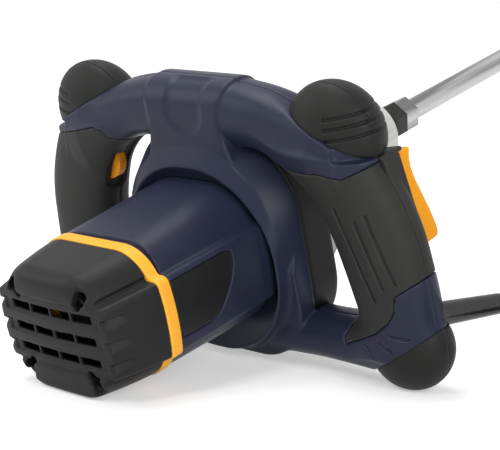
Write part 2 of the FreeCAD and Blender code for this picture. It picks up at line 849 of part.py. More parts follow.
def spindle():
    shaft = y_line(spindle_radius, y_second_gear, y_head, 0, z_spindle)
    journals = [y_tube(spindle_radius + overrun, spindle_radius - running_fit, start, start + spindle_bearing_width,
                       0, z_spindle) for start in (y_spindle_rear_bearing, y_spindle_front_bearing)]
    body = shaft.cut(journals[0]).cut(journals[1])
    y_flats = y_head_end - spindle_flat_length
    body = body.fuse([y_line(spindle_head_radius, y_head, y_flats, 0, z_spindle),
                      hexagon(spindle_flat_half, y_flats, y_head_end, z_spindle)]).removeSplitter()
    return body.cut(y_line(rod_radius + running_fit, y_head_end - rod_thread_length - gear_side_gap,
                           y_head_end + overrun, 0, z_spindle))


def mixing_rod():
    thread = y_line(rod_radius, y_head_end - rod_thread_length, y_head_end, 0, z_spindle)
    nut = hexagon(nut_half_flats, y_head_end, y_nut_end, z_spindle)
    bar = y_line(bar_radius, y_nut_end, y_rod_end, 0, z_spindle)
    coupling = hexagon(coupling_half_flats, y_rod_end - coupling_length, y_rod_end, z_spindle)
    hole = y_line(coupling_hole_radius, y_rod_end - coupling_hole_depth, y_rod_end + overrun, 0, z_spindle)
    return fused([thread, nut, bar, coupling]).cut(hole)


def spindle_seal():
    return y_tube(seal_outer, spindle_radius + running_fit, nose_y - seal_width, nose_y, 0, z_spindle)


# Handle ring pieces
far = ring_reach + bar_height
rear_side = block(-far, far, -far, 0, -far, far)
front_side = block(-far, far, 0, far, -far, far)


def cover_zone(grow):
    """The stretch of the right grip that the soft cover wraps, with a slanted lower edge."""
    top = cover_top + grow
    outer, inner = -cover_outer_foot - grow, -cover_inner_foot - grow
    x_in, x_out = grip_inner_x(), ring_reach
    slope = (outer - inner) / (x_out - x_in)
    reach = grip_half
    points = [Vec(x_in - reach, -far, inner - slope * reach), Vec(x_out + reach, -far, outer + slope * reach),
              Vec(x_out + reach, -far, top), Vec(x_in - reach, -far, top)]
    return Part.Face(Part.makePolygon(points + points[:1])).extrude(Vec(0, far + far, 0))


def grip_inner_x():
    return ring_reach - grip_half - grip_half


def corner_form(shares, half_length, half_depth, height):
    form = ellipsoid(shares, half_length - corner_inset, half_depth - corner_inset, height - corner_inset)
    return form.cut(outside_of(shares, 0, far))


upper_bumper_size = (upper_bumper_half_length, upper_bumper_back_depth, upper_bumper_height)
lower_bumper_size = (lower_bumper_half_length, lower_bumper_back_depth, lower_bumper_height)


def right_limbs():
    """The right handle's outer form without the soft parts: arms, grip core and both corners."""
    full = [top_arm(0), lower_arm(0), corner_form(upper_cut_shares, *upper_bumper_size),
            corner_form(lower_cut_shares, *lower_bumper_size)]
    limbs = fused(full).fuse(grip(0)).cut(grip_cover_form(-skin_fit))
    limbs = limbs.fuse(grip(cover_thickness))
    for shares in (upper_cut_shares, lower_cut_shares):
        limbs = limbs.cut(outside_of(shares, 0, far))
    return limbs.removeSplitter()


def grip_cover_form(inset):
    """The soft cover as a sleeve round the grip core."""
    sleeve = grip(inset if inset < 0 else 0).cut(grip(cover_thickness - skin_fit if inset >= 0 else cover_thickness))
    return sleeve.common(cover_zone(skin_fit if inset < 0 else 0))


def drum_form(grow):
    """The ring's middle behind the parting plane: a round rim that swells into the squarer drum."""
    rim = rounded_wire(collar_half_width + grow, collar_half_height + grow, collar_corner + grow, -collar_rim)
    rim.translate(Vec(0, 0, -collar_drop))
    shoulder = rounded_wire(shoulder_half_width + grow, shoulder_half_height + grow, shoulder_corner + grow,
                            -shoulder_back)
    shoulder.translate(Vec(0, 0, -shoulder_drop))
    full = rounded_wire(drum_half_width + grow, drum_half_height + grow, drum_corner + grow, -drum_back)
    back = Part.makeLoft([rim, shoulder, full], True, True)
    return back.fuse(rounded_slab(drum_half_width + grow, drum_half_height + grow, drum_corner + grow, -drum_back, 0))


def drum_foot():
    """The squarer lower part of the drum, whose back leans forward as it rises."""
    slab = rounded_slab(foot_half_width, drum_half_height, foot_corner, -foot_back, 0)
    side = [(0, foot_top), (0, -far), (-foot_back, -far), (-foot_back, -foot_low), (0, foot_top)]
    wedge = Part.Face(Part.makePolygon([Vec(-far, y, z) for y, z in side])).extrude(Vec(far + far, 0, 0))
    return slab.common(wedge)


def right_cavity():
    hollow = fused([top_arm(shell_wall), lower_arm(shell_wall), grip(cover_thickness + shell_wall)])
    return hollow.cut([outside_of(shares, -shell_wall, far) for shares in (upper_cut_shares, lower_cut_shares)])


def handle_screw_places():
    return [(sx * x * ring_reach, z * bar_height) for sx in (-1, 1) for x, z in handle_screw_shares]


def leaned(shape):
    """Turned with the grip's lean about the trigger's middle."""
    turned = shape.copy()
    turned.rotate(Vec(trigger_x, 0, trigger_z), Vec(0, 1, 0), -trigger_lean)
    return turned


def switch_box(grow):
    return leaned(block(trigger_x - switch_half_width - grow, trigger_x + switch_half_width + grow,
                        switch_front - switch_depth, switch_front,
                        trigger_z - switch_half_height - grow, trigger_z + switch_half_height + grow))


def trigger_outline(grow):
    """The trigger's side view: hooked top, drawn-in finger rest, full rounded foot."""
    top, foot = trigger_z + trigger_half_height + grow, trigger_z - trigger_half_height - grow
    span = trigger_half_height
    x = trigger_x - trigger_half_width - grow
    reach = trigger_reach + grow
    hook, rest, belly, toe = (reach * share for share in trigger_reach_shares)
    start = Vec(x, trigger_back, top)
    tip = Vec(x, hook, top)
    hollow = Vec(x, rest, trigger_z + span * trigger_rest_share)
    full = Vec(x, belly, trigger_z - span * trigger_belly_share)
    sole = Vec(x, toe, foot)
    end = Vec(x, trigger_back, foot)
    front = Part.BSplineCurve()
    front.interpolate([tip, hollow, full, sole])
    edges = [Part.LineSegment(start, tip).toShape(), front.toShape(), Part.LineSegment(sole, end).toShape(),
             Part.LineSegment(end, start).toShape()]
    return Part.Face(Part.Wire(edges))


def trigger():
    body = leaned(trigger_outline(0).extrude(Vec(trigger_half_width + trigger_half_width, 0, 0)))
    return body.cut(y_line(spring_radius + loose_fit, trigger_back - overrun, switch_front + spring_length + loose_fit,
                           trigger_x, trigger_z))


def trigger_slot():
    low, high = trigger_z - trigger_half_height - slide_fit, trigger_z + trigger_half_height + slide_fit
    half = trigger_half_width + slide_fit
    return leaned(block(trigger_x - half, trigger_x + half, switch_front, far, low, high))


def trigger_spring():
    return y_tube(spring_radius, spring_bore, switch_front, switch_front + spring_length, trigger_x, trigger_z)


def wheel_pocket():
    half = wheel_half_thickness + loose_fit
    return y_line(wheel_radius + loose_fit, wheel_y - half, wheel_y + half, -wheel_x, wheel_z)


def speed_wheel():
    start, end = wheel_y - wheel_half_thickness, wheel_y + wheel_half_thickness
    body = y_line(wheel_radius, start, end, -wheel_x, wheel_z)
    for step in range(knurl_count):
        angle = 2 * pi * step / knurl_count
        x, z = wheel_radius * cos(angle) - wheel_x, wheel_radius * sin(angle) + wheel_z
        body = body.cut(y_line(knurl_radius, start - overrun, end + overrun, x, z))
    return body.fuse(y_line(wheel_axle_radius, end, end + wheel_axle_length, -wheel_x, wheel_z)).removeSplitter()


def control_back():
    return wheel_y + wheel_half_thickness + loose_fit


def control_box(grow):
    back = control_back()
    x = -wheel_x - control_shift
    return block(x - control_half_width - grow, x + control_half_width + grow, back, back + control_depth,
                 wheel_z - control_half_width - grow, wheel_z + control_half_width + grow)


def speed_control():
    body = control_box(0)
    return body.cut(y_line(wheel_axle_radius + running_fit, 0, far, -wheel_x, wheel_z))


def exit_direction():
    heading, dip = radians(exit_heading), radians(exit_dip)
    return Vec(cos(heading) * cos(dip), sin(heading) * cos(dip), -sin(dip))


def boot_form(grow):
    """The strain relief: a tapering sleeve with a flange that the shell grips from inside."""
    along = exit_direction()
    point = Vec(exit_x, exit_y, exit_z)
    body = Part.makeCone(boot_root_radius + grow, boot_tip_radius + grow, boot_length, point, along)
    root = Part.makeCylinder(boot_root_radius + grow, boot_tail, point - along * boot_tail, along)
    start = point - along * boot_tail
    flange = Part.makeCylinder(boot_flange_radius + grow, boot_flange, start, along)
    return body.fuse([root, flange]).removeSplitter()


def cord_boot():
    """The strain relief with a socket at its tip that the free cord comes out of."""
    along = exit_direction()
    socket = Part.makeCylinder(cord_radius + running_fit, boot_tip_radius + overrun, cord_start(), along)
    return boot_form(0).cut(socket)


def cord_start():
    return Vec(exit_x, exit_y, exit_z) + exit_direction() * (boot_length - boot_tip_radius)


def terminal_box(low, high):
    return block(terminal_x - terminal_half_length, terminal_x + terminal_half_length, low, high,
                 terminal_z - terminal_half_height, terminal_z + terminal_half_height)


def terminal_screw_places():
    offset = terminal_half_length - terminal_half_height / 2 - terminal_screw_radius / 2
    return [(terminal_x + side * offset, terminal_z) for side in (-1, 1)]


def terminal_block():
    bar = terminal_box(terminal_front - terminal_thickness, terminal_front)
    for x, z in terminal_screw_places():
        bar = bar.cut(y_line(terminal_screw_radius + seat_fit, -far, far, x, z))
    return bar


def terminal_screws():
    screws = []
    for x, z in terminal_screw_places():
        head = y_line(terminal_screw_radius + terminal_screw_radius / 2, terminal_front,
                      terminal_front + terminal_screw_radius, x, z)
        shank = y_line(terminal_screw_radius, terminal_tip(), terminal_front, x, z)
        screws.append(head.fuse(shank).removeSplitter())
    return Part.makeCompound(screws)


def handle_screws():
    screws = []
    for x, z in handle_screw_places():
        head = y_line(handle_screw_head, handle_screw_sink - handle_screw_radius, handle_screw_sink, x, z)
        shank = y_line(handle_screw_radius, handle_screw_sink - handle_screw_length,
                       handle_screw_sink - handle_screw_radius, x, z)
        screws.append(head.fuse(shank).removeSplitter())
    return Part.makeCompound(screws)


def screw_cuts():
    cuts = []
    for x, z in handle_screw_places():
        cuts.append(y_line(handle_screw_head + seat_fit, handle_screw_sink - handle_screw_radius, far, x, z))
        cuts.append(y_line(handle_screw_radius + seat_fit, handle_screw_sink - handle_screw_length - seat_fit,
                           handle_screw_sink, x, z))
    return cuts


def handle_shells():
    """Both halves of the ring and the black drum cover in front of it."""
    right = right_limbs()
    right_hollow = right_cavity()
    hollow = fused(both_sides(right_hollow) + [neck(shell_wall)])
    drum_hollow = drum_form(-shell_wall).common(block(-far, far, -drum_hollow_back, 0, -far, far))
    cover_hollow = rounded_slab(drum_half_width - shell_wall, drum_half_height - shell_wall,
                                drum_corner - shell_wall, -overrun, drum_front - shell_wall)
    lip = rounded_slab(drum_half_width, drum_half_height, drum_corner, -lip_depth, 0)
    lip = lip.cut(y_line(plate_radius - lip_width, -far, far))

    switch_seat = switch_box(0).translated(Vec(0, -switch_depth - seat_fit, 0))
    rear_posts = [y_line(handle_post_radius, -far, 0, x, z) for x, z in handle_screw_places()]
    rear_hollow = hollow.cut(rear_posts + [switch_seat, terminal_box(-far, terminal_front - terminal_thickness)])
    front_posts = [y_line(handle_post_radius, 0, far, x, z) for x, z in handle_screw_places()]
    control_seat = control_box(0).translated(Vec(0, control_depth + seat_fit, 0))
    front_hollow = hollow.cut(front_posts + [control_seat])

    shared = [wheel_pocket()] + screw_cuts()
    rear_cuts = [rear_hollow, drum_hollow.cut(lip),
                 motor_form(y_housing_front - overrun - overrun, y_housing_front, seat_fit),
                 motor_form(y_housing_front - overrun, -lip_depth, -housing_wall)]
    for x, z in terminal_screw_places():
        rear_cuts.append(y_line(terminal_screw_radius + seat_fit, terminal_tip() - seat_fit, far, x, z))
    for x, z in case_screw_places():
        rear_cuts.append(y_line(case_screw_head + seat_fit, -lip_depth - overrun, overrun, x, z))
    rear_outer = right.fuse([mirrored(right), neck(0), drum_form(0), drum_foot()]).common(rear_side)
    rear = rear_outer.cut(rear_cuts + shared + [switch_box(seat_fit)])

    drum_gap = rounded_slab(drum_half_width + skin_fit, drum_half_height + skin_fit, drum_corner, -overrun,
                            drum_front + overrun)
    front_outer = right.fuse([mirrored(right), neck(0)]).common(front_side)
    axle_way = y_line(wheel_axle_radius + loose_fit, 0, control_back() + control_depth, -wheel_x, wheel_z)
    front = front_outer.cut([front_hollow, drum_gap, trigger_slot(), boot_form(skin_fit), control_box(seat_fit),
                             axle_way, switch_box(seat_fit)] + shared)

    cover = rounded_slab(drum_half_width, drum_half_height, drum_corner, 0, drum_front)
    cover = cover.cut([cover_hollow, y_line(case_radius + loose_fit, -far, far, 0, z_case),
                       y_line(plate_radius + seat_fit, -far, y_flange_front)])
    return largest(rear), largest(front), cover


def terminal_tip():
    return terminal_front - terminal_thickness - terminal_thickness


def largest(shape):
    return max(shape.Solids, key=lambda solid: solid.Volume)


def grip_covers():
    """The four soft covers, each a half sleeve."""
    right = grip_cover_form(0)
    rear, front = right.common(rear_side), right.common(front_side)
    cuts = screw_cuts()
    left_rear, left_front = mirrored(rear), mirrored(front)
    front = front.cut(trigger_slot())
    covers = {"right_grip_rear": rear, "right_grip_front": front, "left_grip_rear": left_rear,
              "left_grip_front": left_front}
    result = {}
    for name, shape in covers.items():
        result[name] = largest(shape.cut(cuts + [wheel_pocket(), control_box(seat_fit), boot_form(skin_fit)]))
    return result


def bumpers():
    result = {}
    for level, shares, size, front_depth in (("upper", upper_cut_shares, upper_bumper_size, upper_bumper_front_depth),
                                             ("lower", lower_cut_shares, lower_bumper_size, lower_bumper_front_depth)):
        length, back_depth, height = size
        for half, side, depth in (("rear", rear_side, back_depth), ("front", front_side, front_depth)):
            piece = ellipsoid(shares, length, depth, height).common(outside_of(shares, 0, far)).common(side)
            if level == "lower" and half == "front":
                piece = piece.cut(boot_form(loose_fit))
            result["%s_right_bumper_%s" % (level, half)] = largest(piece)
            result["%s_left_bumper_%s" % (level, half)] = mirrored(largest(piece))
    return result


def resting_tilt():
    """Tilt at which the tail's lower edge and the lower bumpers are level, found by halving."""
    low, high = 0.0, pi / 4
    for _ in range(60):
        tilt = (low + high) / 2
        down = Vec(0, -sin(tilt), -cos(tilt))
        tail = Vec(0, y_tail, -tail_half_height).dot(down)
        bumper = oval_offset(lower_cut_shares, *lower_bumper_size, down)
        if tail > bumper:
            high = tilt
        else:
            low = tilt
    return (low + high) / 2


def arc_edge(start, tangent, end):
    """The arc that leaves start along a tangent and reaches end."""
    chord = end - start
    across = tangent.cross(chord)
    if across.Length < 1e-9 * chord.Length:
        return Part.LineSegment(start, end).toShape()
    side = across.cross(tangent).normalize()
    radius = chord.dot(chord) / (2 * chord.dot(side))
    centre = start + side * radius
    out = ((start + end) * 0.5 - centre).normalize()
    return Part.Arc(start, centre + out * radius, end).toShape()


def biarc(p0, t0, p1, t1):
    """Two arcs that join two points with given directions."""
    v = p1 - p0
    t = t0 + t1
    a = 2 * (1 - t0.dot(t1))
    b = v.dot(t)
    c = v.dot(v)
    reach = c / (2 * b) if abs(a) < 1e-9 else (-b + sqrt(b * b + a * c)) / a
    joint = (p0 + t0 * reach + p1 - t1 * reach) * 0.5
    middle = ((p1 - t1 * reach) - (p0 + t0 * reach)).normalize()
    return [arc_edge(p0, t0, joint), arc_edge(joint, middle, p1)]


def tube_along(edges, radius):
    """A round tube along joined arcs and lines."""
    wire = Part.Wire(edges)
    start = edges[0].valueAt(edges[0].FirstParameter)
    heading = edges[0].tangentAt(edges[0].FirstParameter)
    ring = Part.Wire(Part.makeCircle(radius, start, heading))
    shell = Part.BRepOffsetAPI.MakePipeShell(wire)
    shell.add(ring, False, False)
    shell.build()
    shell.makeSolid()
    return shell.shape()


def route_edges(points):
    """Straight runs joined by the largest tangent arcs that the runs allow."""
    edges, radii = [], []
    here = points[0]
    for before, corner, after in zip(points, points[1:], points[2:]):
        run_in, run_out = (corner - before), (after - corner)
        direction_in, direction_out = Vec(run_in).normalize(), Vec(run_out).normalize()
        turn = acos(max(-1, min(1, direction_in.dot(direction_out))))
        setback = arc_run_share * min(run_in.Length, run_out.Length)
        radius = setback / tan(turn / 2)
        radii.append(radius)
        start, end = corner - direction_in * setback, corner + direction_out * setback
        edges.append(Part.LineSegment(here, start).toShape())
        edges.append(arc_edge(start, direction_in, end))
        here = end
    edges.append(Part.LineSegment(here, points[-1]).toShape())
    return edges, radii


def coil_point(turn):
    """Centre line of the coil, in turns: it spirals in, climbs a layer as it reverses, and spirals out."""
    layer_place = turn / coil_turns_per_layer
    layer = max(min(int(layer_place), coil_layers - 1), 0)
    part = layer_place - layer
    inward = part if layer % 2 == 0 else 1 - part
    radius = coil_mean_radius + coil_pitch * coil_turns_per_layer * (0.5 - inward)
    height = 0.0
    for step in range(1, coil_layers):
        rise = max(0, min(1, (turn - step * coil_turns_per_layer) / climb_turn_share + 0.5))
        height += coil_pitch * (rise * rise * (3 - 2 * rise))
    angle = -2 * pi * turn
    return Vec(radius * cos(angle), radius * sin(angle), height)


def coil_heading(turn):
    return (coil_point(turn + difference_share) - coil_point(turn - difference_share)).normalize()


def level(vector):
    return Vec(vector.x, vector.y, 0).normalize()


def turned_about_z(vector, angle):
    return Vec(vector.x * cos(angle) - vector.y * sin(angle), vector.x * sin(angle) + vector.y * cos(angle), vector.z)


def coil_edges(start, heading):
    """The coil's centre line as biarcs from a point on a level heading, straight for one diameter at each end."""
    count = coil_turns_per_layer * coil_layers * coil_steps_per_turn
    turns = [step / coil_steps_per_turn for step in range(count + 1)]
    first = level(coil_heading(0))
    swing = atan2(heading.y, heading.x) - atan2(first.y, first.x)
    straight = cord_radius + cord_radius
    centre = start + heading * straight - turned_about_z(coil_point(0), swing)
    knots = [centre + turned_about_z(coil_point(turn), swing) for turn in turns]
    headings = [turned_about_z(coil_heading(turn), swing) for turn in turns]
    headings[0], headings[-1] = level(headings[0]), level(headings[-1])
    edges = [Part.LineSegment(start, knots[0]).toShape()]
    for step in range(count):
        edges += biarc(knots[step], headings[step], knots[step + 1], headings[step + 1])
    end = knots[-1] + headings[-1] * straight
    edges.append(Part.LineSegment(knots[-1], end).toShape())
    return edges, centre, swing, end, headings[-1]


def least_self_gap(edges):
    """Least clear distance of a tube to itself, measured on points along its centre line."""
    points, travelled = [], []
    run = 0.0
    for edge in edges:
        for step in range(8):
            at = edge.getParameterByLength(edge.Length * step / 8)
            points.append(edge.valueAt(at))
            travelled.append(run + edge.Length * step / 8)
        run += edge.Length
    apart = pi * coil_mean_radius / 2
    least = None
    for i, first in enumerate(points):
        for j in range(i + 1, len(points)):
            if travelled[j] - travelled[i] > apart:
                gap = first.distanceToPoint(points[j])
                least = gap if least is None else min(least, gap)
    return least - cord_radius - cord_radius


def upright(shape, point, heading):
    """Places a shape built along X at the origin so that it runs along a level heading from a point."""
    placed = shape.copy()
    placed.rotate(Vec(0, 0, 0), Vec(0, 0, 1), degrees(atan2(heading.y, heading.x)))
    placed.translate(point)
    return placed


def plug_parts(point, heading):
    """A two-pin plug that lies flat: body with its neck, and the pins."""
    neck_piece = Part.makeCone(plug_neck_tip, plug_neck_radius, plug_neck_length, Vec(0, 0, 0), Vec(1, 0, 0))
    body = block(plug_neck_length, plug_neck_length + plug_length, -plug_half_width, plug_half_width,
                 -plug_half_height, plug_half_height)
    upright_edges = [edge for edge in body.Edges if abs(edge.tangentAt(edge.FirstParameter).x) > 0.5]
    body = body.makeFillet(plug_corner, upright_edges).fuse(neck_piece).removeSplitter()
    front = plug_neck_length + plug_length
    pins = []
    for side in (-1, 1):
        at = Vec(front - pin_length / 2, side * pin_spacing / 2, 0)
        pins.append(Part.makeCylinder(pin_radius, pin_length + pin_length / 2, at, Vec(1, 0, 0)))
        body = body.cut(Part.makeCylinder(pin_radius, pin_length, at, Vec(1, 0, 0)))
    return upright(body, point, heading), upright(Part.makeCompound(pins), point, heading)


def coil_tie(centre, swing):
    """A strap round the coil's bundle, opposite the place where the cord comes in."""
    reach = coil_pitch * (coil_turns_per_layer - 1) / 2 + cord_radius + tie_gap
    low = -cord_radius - tie_under_gap
    high = coil_pitch * (coil_layers - 1) + cord_radius + tie_under_gap
    half = tie_width / 2
    inner = block(coil_mean_radius - reach, coil_mean_radius + reach, -half - overrun, half + overrun, low, high)
    outer = block(coil_mean_radius - reach - tie_thickness, coil_mean_radius + reach + tie_thickness,
                  -half, half, low - tie_thickness, high + tie_thickness)
    strap = outer.cut(inner)
    strap.rotate(Vec(0, 0, 0), Vec(0, 0, 1), degrees(swing + pi))
    strap.translate(centre)
    return strap


def cord_nodes(place):
    """Free cord, coil, tie and plug, laid on the floor beside the tool."""
    start = place.multVec(cord_start())
    heading = place.Rotation.multVec(exit_direction())
    points = [start, start + heading * cord_lead] + [Vec(*point) for point in cord_route]
    free_edges, radii = route_edges(points)
    edges, centre, swing, coil_end, coil_out = coil_edges(points[-1], level(points[-1] - points[-2]))
    free = tube_along(free_edges, cord_radius)
    coil = tube_along(edges, cord_radius)
    section = pi * cord_radius ** 2
    free_length = sum(edge.Length for edge in free_edges)
    coil_length = sum(edge.Length for edge in edges)
    print("cord start", start, "heading", heading)
    print("cord radii", [round(radius, 1) for radius in radii], "in diameters",
          [round(radius / cord_radius / 2, 1) for radius in radii])
    print("runs", [round((b - a).Length, 1) for a, b in zip(points, points[1:])])
    print("free length", free_length, "volume share", free.Volume / (section * free_length))
    print("coil length", coil_length, "volume share", coil.Volume / (section * coil_length))
    print("coil least self-gap", least_self_gap(edges), "coil centre", centre, "swing", degrees(swing))
    print("coil end", coil_end, "heading", coil_out)
    body, pins = plug_parts(coil_end, coil_out)
    return {"power_cord": free, "cord_coil": coil, "coil_tie": coil_tie(centre, swing), "plug_body": body,
            "plug_pins": pins}


def tool_nodes():
    rear_shell, front_shell, cover = handle_shells()
    nodes = {
        "rear_cap": rear_cap(), "rear_cap_screws": rear_cap_screws(), "trim_band": trim_band(),
        "motor_housing": motor_housing(), "side_panel_right": side_plate(), "side_panel_left": mirrored(side_plate()),
        "stator_core": stator_core(), "field_coils": field_coils(), "brush_bracket": brush_bracket(),
        "brush_holders": brush_holders(), "carbon_brushes": carbon_brushes(),
        "rear_bearing": ring_bearing(rear_bearing_bore, rear_bearing_outer, rear_bearing_width, y_rear_bearing, 0),
        "front_motor_bearing": ring_bearing(front_bearing_bore, front_bearing_outer, front_bearing_width,
                                            y_plate_front - front_bearing_width, 0),
        "armature_shaft": armature_shaft(), "armature_core": armature_core(),
        "armature_windings": armature_windings(), "commutator": commutator(), "fan": fan(),
        "bearing_plate": bearing_plate(), "gear_case": gear_case(), "gear_case_screws": gear_case_screws(),
        "drum_cover": cover, "layshaft": layshaft(), "layshaft_gear": layshaft_gear(),
        "layshaft_rear_bearing": ring_bearing(lay_bearing_bore, lay_bearing_outer, lay_bearing_width,
                                              y_plate_front - lay_bearing_width, z_lay),
        "layshaft_front_bearing": ring_bearing(lay_bearing_bore, lay_bearing_outer, lay_bearing_width,
                                               y_lay_front_bearing, z_lay),
        "spindle": spindle(), "spindle_gear": spindle_gear(), "spindle_seal": spindle_seal(),
        "spindle_rear_bearing": ring_bearing(spindle_radius, spindle_bearing_outer, spindle_bearing_width,
                                             y_spindle_rear_bearing, z_spindle),
        "spindle_front_bearing": ring_bearing(spindle_radius, spindle_bearing_outer, spindle_bearing_width,
                                              y_spindle_front_bearing, z_spindle),
        "mixing_rod": mixing_rod(), "handle_shell_rear": rear_shell, "handle_shell_front": front_shell,
        "handle_screws": handle_screws(), "switch_body": switch_box(0), "trigger": trigger(),
        "trigger_spring": trigger_spring(), "speed_wheel": speed_wheel(), "speed_control": speed_control(),
        "terminal_block": terminal_block(), "terminal_screws": terminal_screws(), "cord_boot": cord_boot()}
    nodes.update(grip_covers())
    nodes.update(bumpers())
    return nodes


def main():
    os.makedirs("parts", exist_ok=True)
    nodes = tool_nodes()
    tilt = resting_tilt()
    turn = FreeCAD.Rotation(Vec(1, 0, 0), degrees(tilt))
    tilt_only = FreeCAD.Placement(Vec(0, 0, 0), turn).toMatrix()
    tilted = {name: shape.transformed(tilt_only) for name, shape in nodes.items()}
    down = Vec(0, -sin(tilt), -cos(tilt))
    floor = oval_offset(lower_cut_shares, *lower_bumper_size, down)
    boxes = [tilted[name].BoundBox for name in ("rear_cap", "mixing_rod")]
    middle = (boxes[0].YMin + boxes[1].YMax) / 2
    place = FreeCAD.Placement(Vec(0, -middle, floor), turn)
    placed = {name: shape.transformed(place.toMatrix()) for name, shape in nodes.items()}
    placed.update(cord_nodes(place))
    for name, shape in placed.items():
        shape.exportStep("parts/%s.step" % name)
        if not shape.isValid():
            print("not valid:", name)
    print("tilt", degrees(tilt), "shift", place.Base, "nodes", len(placed))
    print("layshaft z", z_lay, "spindle z", z_spindle, "rod end", y_rod_end, "case front", y_case_front)


main()
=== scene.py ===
import json
from functools import reduce
from math import atan2, cos, pi, radians, sin

import bpy
import numpy as np
from mathutils import Matrix, Vector
from numpy import clip, maximum, minimum


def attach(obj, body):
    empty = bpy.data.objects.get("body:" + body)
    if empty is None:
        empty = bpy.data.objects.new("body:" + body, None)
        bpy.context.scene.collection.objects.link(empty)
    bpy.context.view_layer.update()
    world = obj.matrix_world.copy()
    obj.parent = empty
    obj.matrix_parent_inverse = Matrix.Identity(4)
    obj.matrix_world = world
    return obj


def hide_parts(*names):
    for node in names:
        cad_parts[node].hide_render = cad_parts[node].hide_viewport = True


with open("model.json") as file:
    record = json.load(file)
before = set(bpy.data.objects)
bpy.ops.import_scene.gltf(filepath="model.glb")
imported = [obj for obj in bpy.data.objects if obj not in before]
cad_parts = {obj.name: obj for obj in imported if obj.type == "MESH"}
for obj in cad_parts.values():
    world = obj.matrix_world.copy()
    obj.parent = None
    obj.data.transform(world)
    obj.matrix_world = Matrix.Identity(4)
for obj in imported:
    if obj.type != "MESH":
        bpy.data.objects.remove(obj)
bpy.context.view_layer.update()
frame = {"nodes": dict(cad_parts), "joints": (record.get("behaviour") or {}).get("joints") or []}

# The tool's own axes: Y along the shaft towards the rod, Z up, origin on the motor axis at the ring's
# parting plane. Shapes are written there in millimetres and then placed with the resting tilt.
MM = 0.001
armature_joint = next(j for j in frame["joints"] if j["name"] == "armature_spin")
shaft = Vector(armature_joint["axis"]).normalized()
across = Vector((1, 0, 0))
upward = across.cross(shaft)
tool_origin = Vector(armature_joint["pos_m"])
turn = np.array([[across[i], shaft[i], upward[i]] for i in range(3)])


def placed(points_mm):
    """Points from the tool's axes in millimetres to the scene in metres."""
    return np.asarray(points_mm) @ turn.T * MM + np.array(tool_origin)


# Fields: negative inside a form, and about the distance in millimetres near its surface
TINY = 1e-6


def smin(a, b, k):
    """Union of two fields with a blend of width k."""
    h = clip(0.5 + 0.5 * (b - a) / k, 0, 1)
    return b * (1 - h) + a * h - k * h * (1 - h)


def smax(a, b, k):
    """Overlap of two fields with its edge rounded over a width k."""
    return -smin(-a, -b, k)


def cut(form, tool):
    """A form without what another field holds."""
    return maximum(form, -tool)


def radial(a, b):
    return np.sqrt(a ** 2 + b ** 2)


def spline(xs, ys):
    """A smooth curve through stations, flat outside them."""
    xs, ys = np.array(xs, float), np.array(ys, float)
    slopes = np.gradient(ys, xs)

    def value(t):
        t = clip(t, xs[0], xs[-1])
        i = clip(np.searchsorted(xs, t) - 1, 0, len(xs) - 2)
        w = xs[i + 1] - xs[i]
        s = (t - xs[i]) / w
        return ((1 + 2 * s) * (1 - s) ** 2 * ys[i] + s * (1 - s) ** 2 * w * slopes[i]
                + s * s * (3 - 2 * s) * ys[i + 1] + s * s * (s - 1) * w * slopes[i + 1]).astype(np.float32)

    return value


def oval(a, b, half_a, half_b, power):
    """A squarish oval section."""
    g = ((np.abs(a) / half_a) ** power + (np.abs(b) / half_b) ** power) ** (1 / power)
    return (g - 1) * minimum(half_a, half_b)


def ellipsoid(x, y, z, centre, along, radii):
    """An ellipsoid whose long axis lies in the XZ plane."""
    u = (x - centre[0]) * along[0] + (z - centre[1]) * along[1]
    v = -(x - centre[0]) * along[1] + (z - centre[1]) * along[0]
    k0 = np.sqrt((u / radii[0]) ** 2 + (y / radii[1]) ** 2 + (v / radii[2]) ** 2) + TINY
    k1 = np.sqrt((u / radii[0] ** 2) ** 2 + (y / radii[1] ** 2) ** 2 + (v / radii[2] ** 2) ** 2) + TINY
    return k0 * (k0 - 1) / k1


def rounded_rect(x, z, half_w, half_h, corner):
    qx, qz = np.abs(x) - (half_w - corner), np.abs(z) - (half_h - corner)
    outside = radial(maximum(qx, 0), maximum(qz, 0))
    return outside + minimum(maximum(qx, qz), 0) - corner


def polygon(a, b, points):
    """A closed outline with straight sides."""
    pts = np.array(points, np.float32)
    best = None
    inside = np.zeros(np.broadcast(a, b).shape, bool)
    for p, q in zip(pts, np.roll(pts, -1, 0)):
        ea, eb = q - p
        t = clip(((a - p[0]) * ea + (b - p[1]) * eb) / (ea * ea + eb * eb), 0, 1)
        d = (a - p[0] - t * ea) ** 2 + (b - p[1] - t * eb) ** 2
        best = d if best is None else minimum(best, d)
        crosses = (p[1] > b) != (q[1] > b)
        inside ^= crosses & (a < p[0] + (b - p[1]) * ea / (eb if abs(eb) > TINY else TINY))
    return np.where(inside, -np.sqrt(best), np.sqrt(best))


# Surfaces of fields
CORNERS = [(i, j, k) for i in (0, 1) for j in (0, 1) for k in (0, 1)]
EDGES = [(a, b) for a in range(8) for b in range(a + 1, 8)
         if sum(abs(p - q) for p, q in zip(CORNERS[a], CORNERS[b])) == 1]
PULLS = 3
LONGEST_PULL = 0.3
LEAST_SLOPE = 1e-9


def sample(f, p):
    """Trilinear value of a grid at points given in cells."""
    i = clip(np.floor(p).astype(int), 0, np.array(f.shape) - 2)
    t = p - i
    total = 0
    for c in CORNERS:
        w = 1
        for axis in range(3):
            w = w * (t[:, axis] if c[axis] else 1 - t[:, axis])
        total = total + w * f[i[:, 0] + c[0], i[:, 1] + c[1], i[:, 2] + c[2]]
    return total


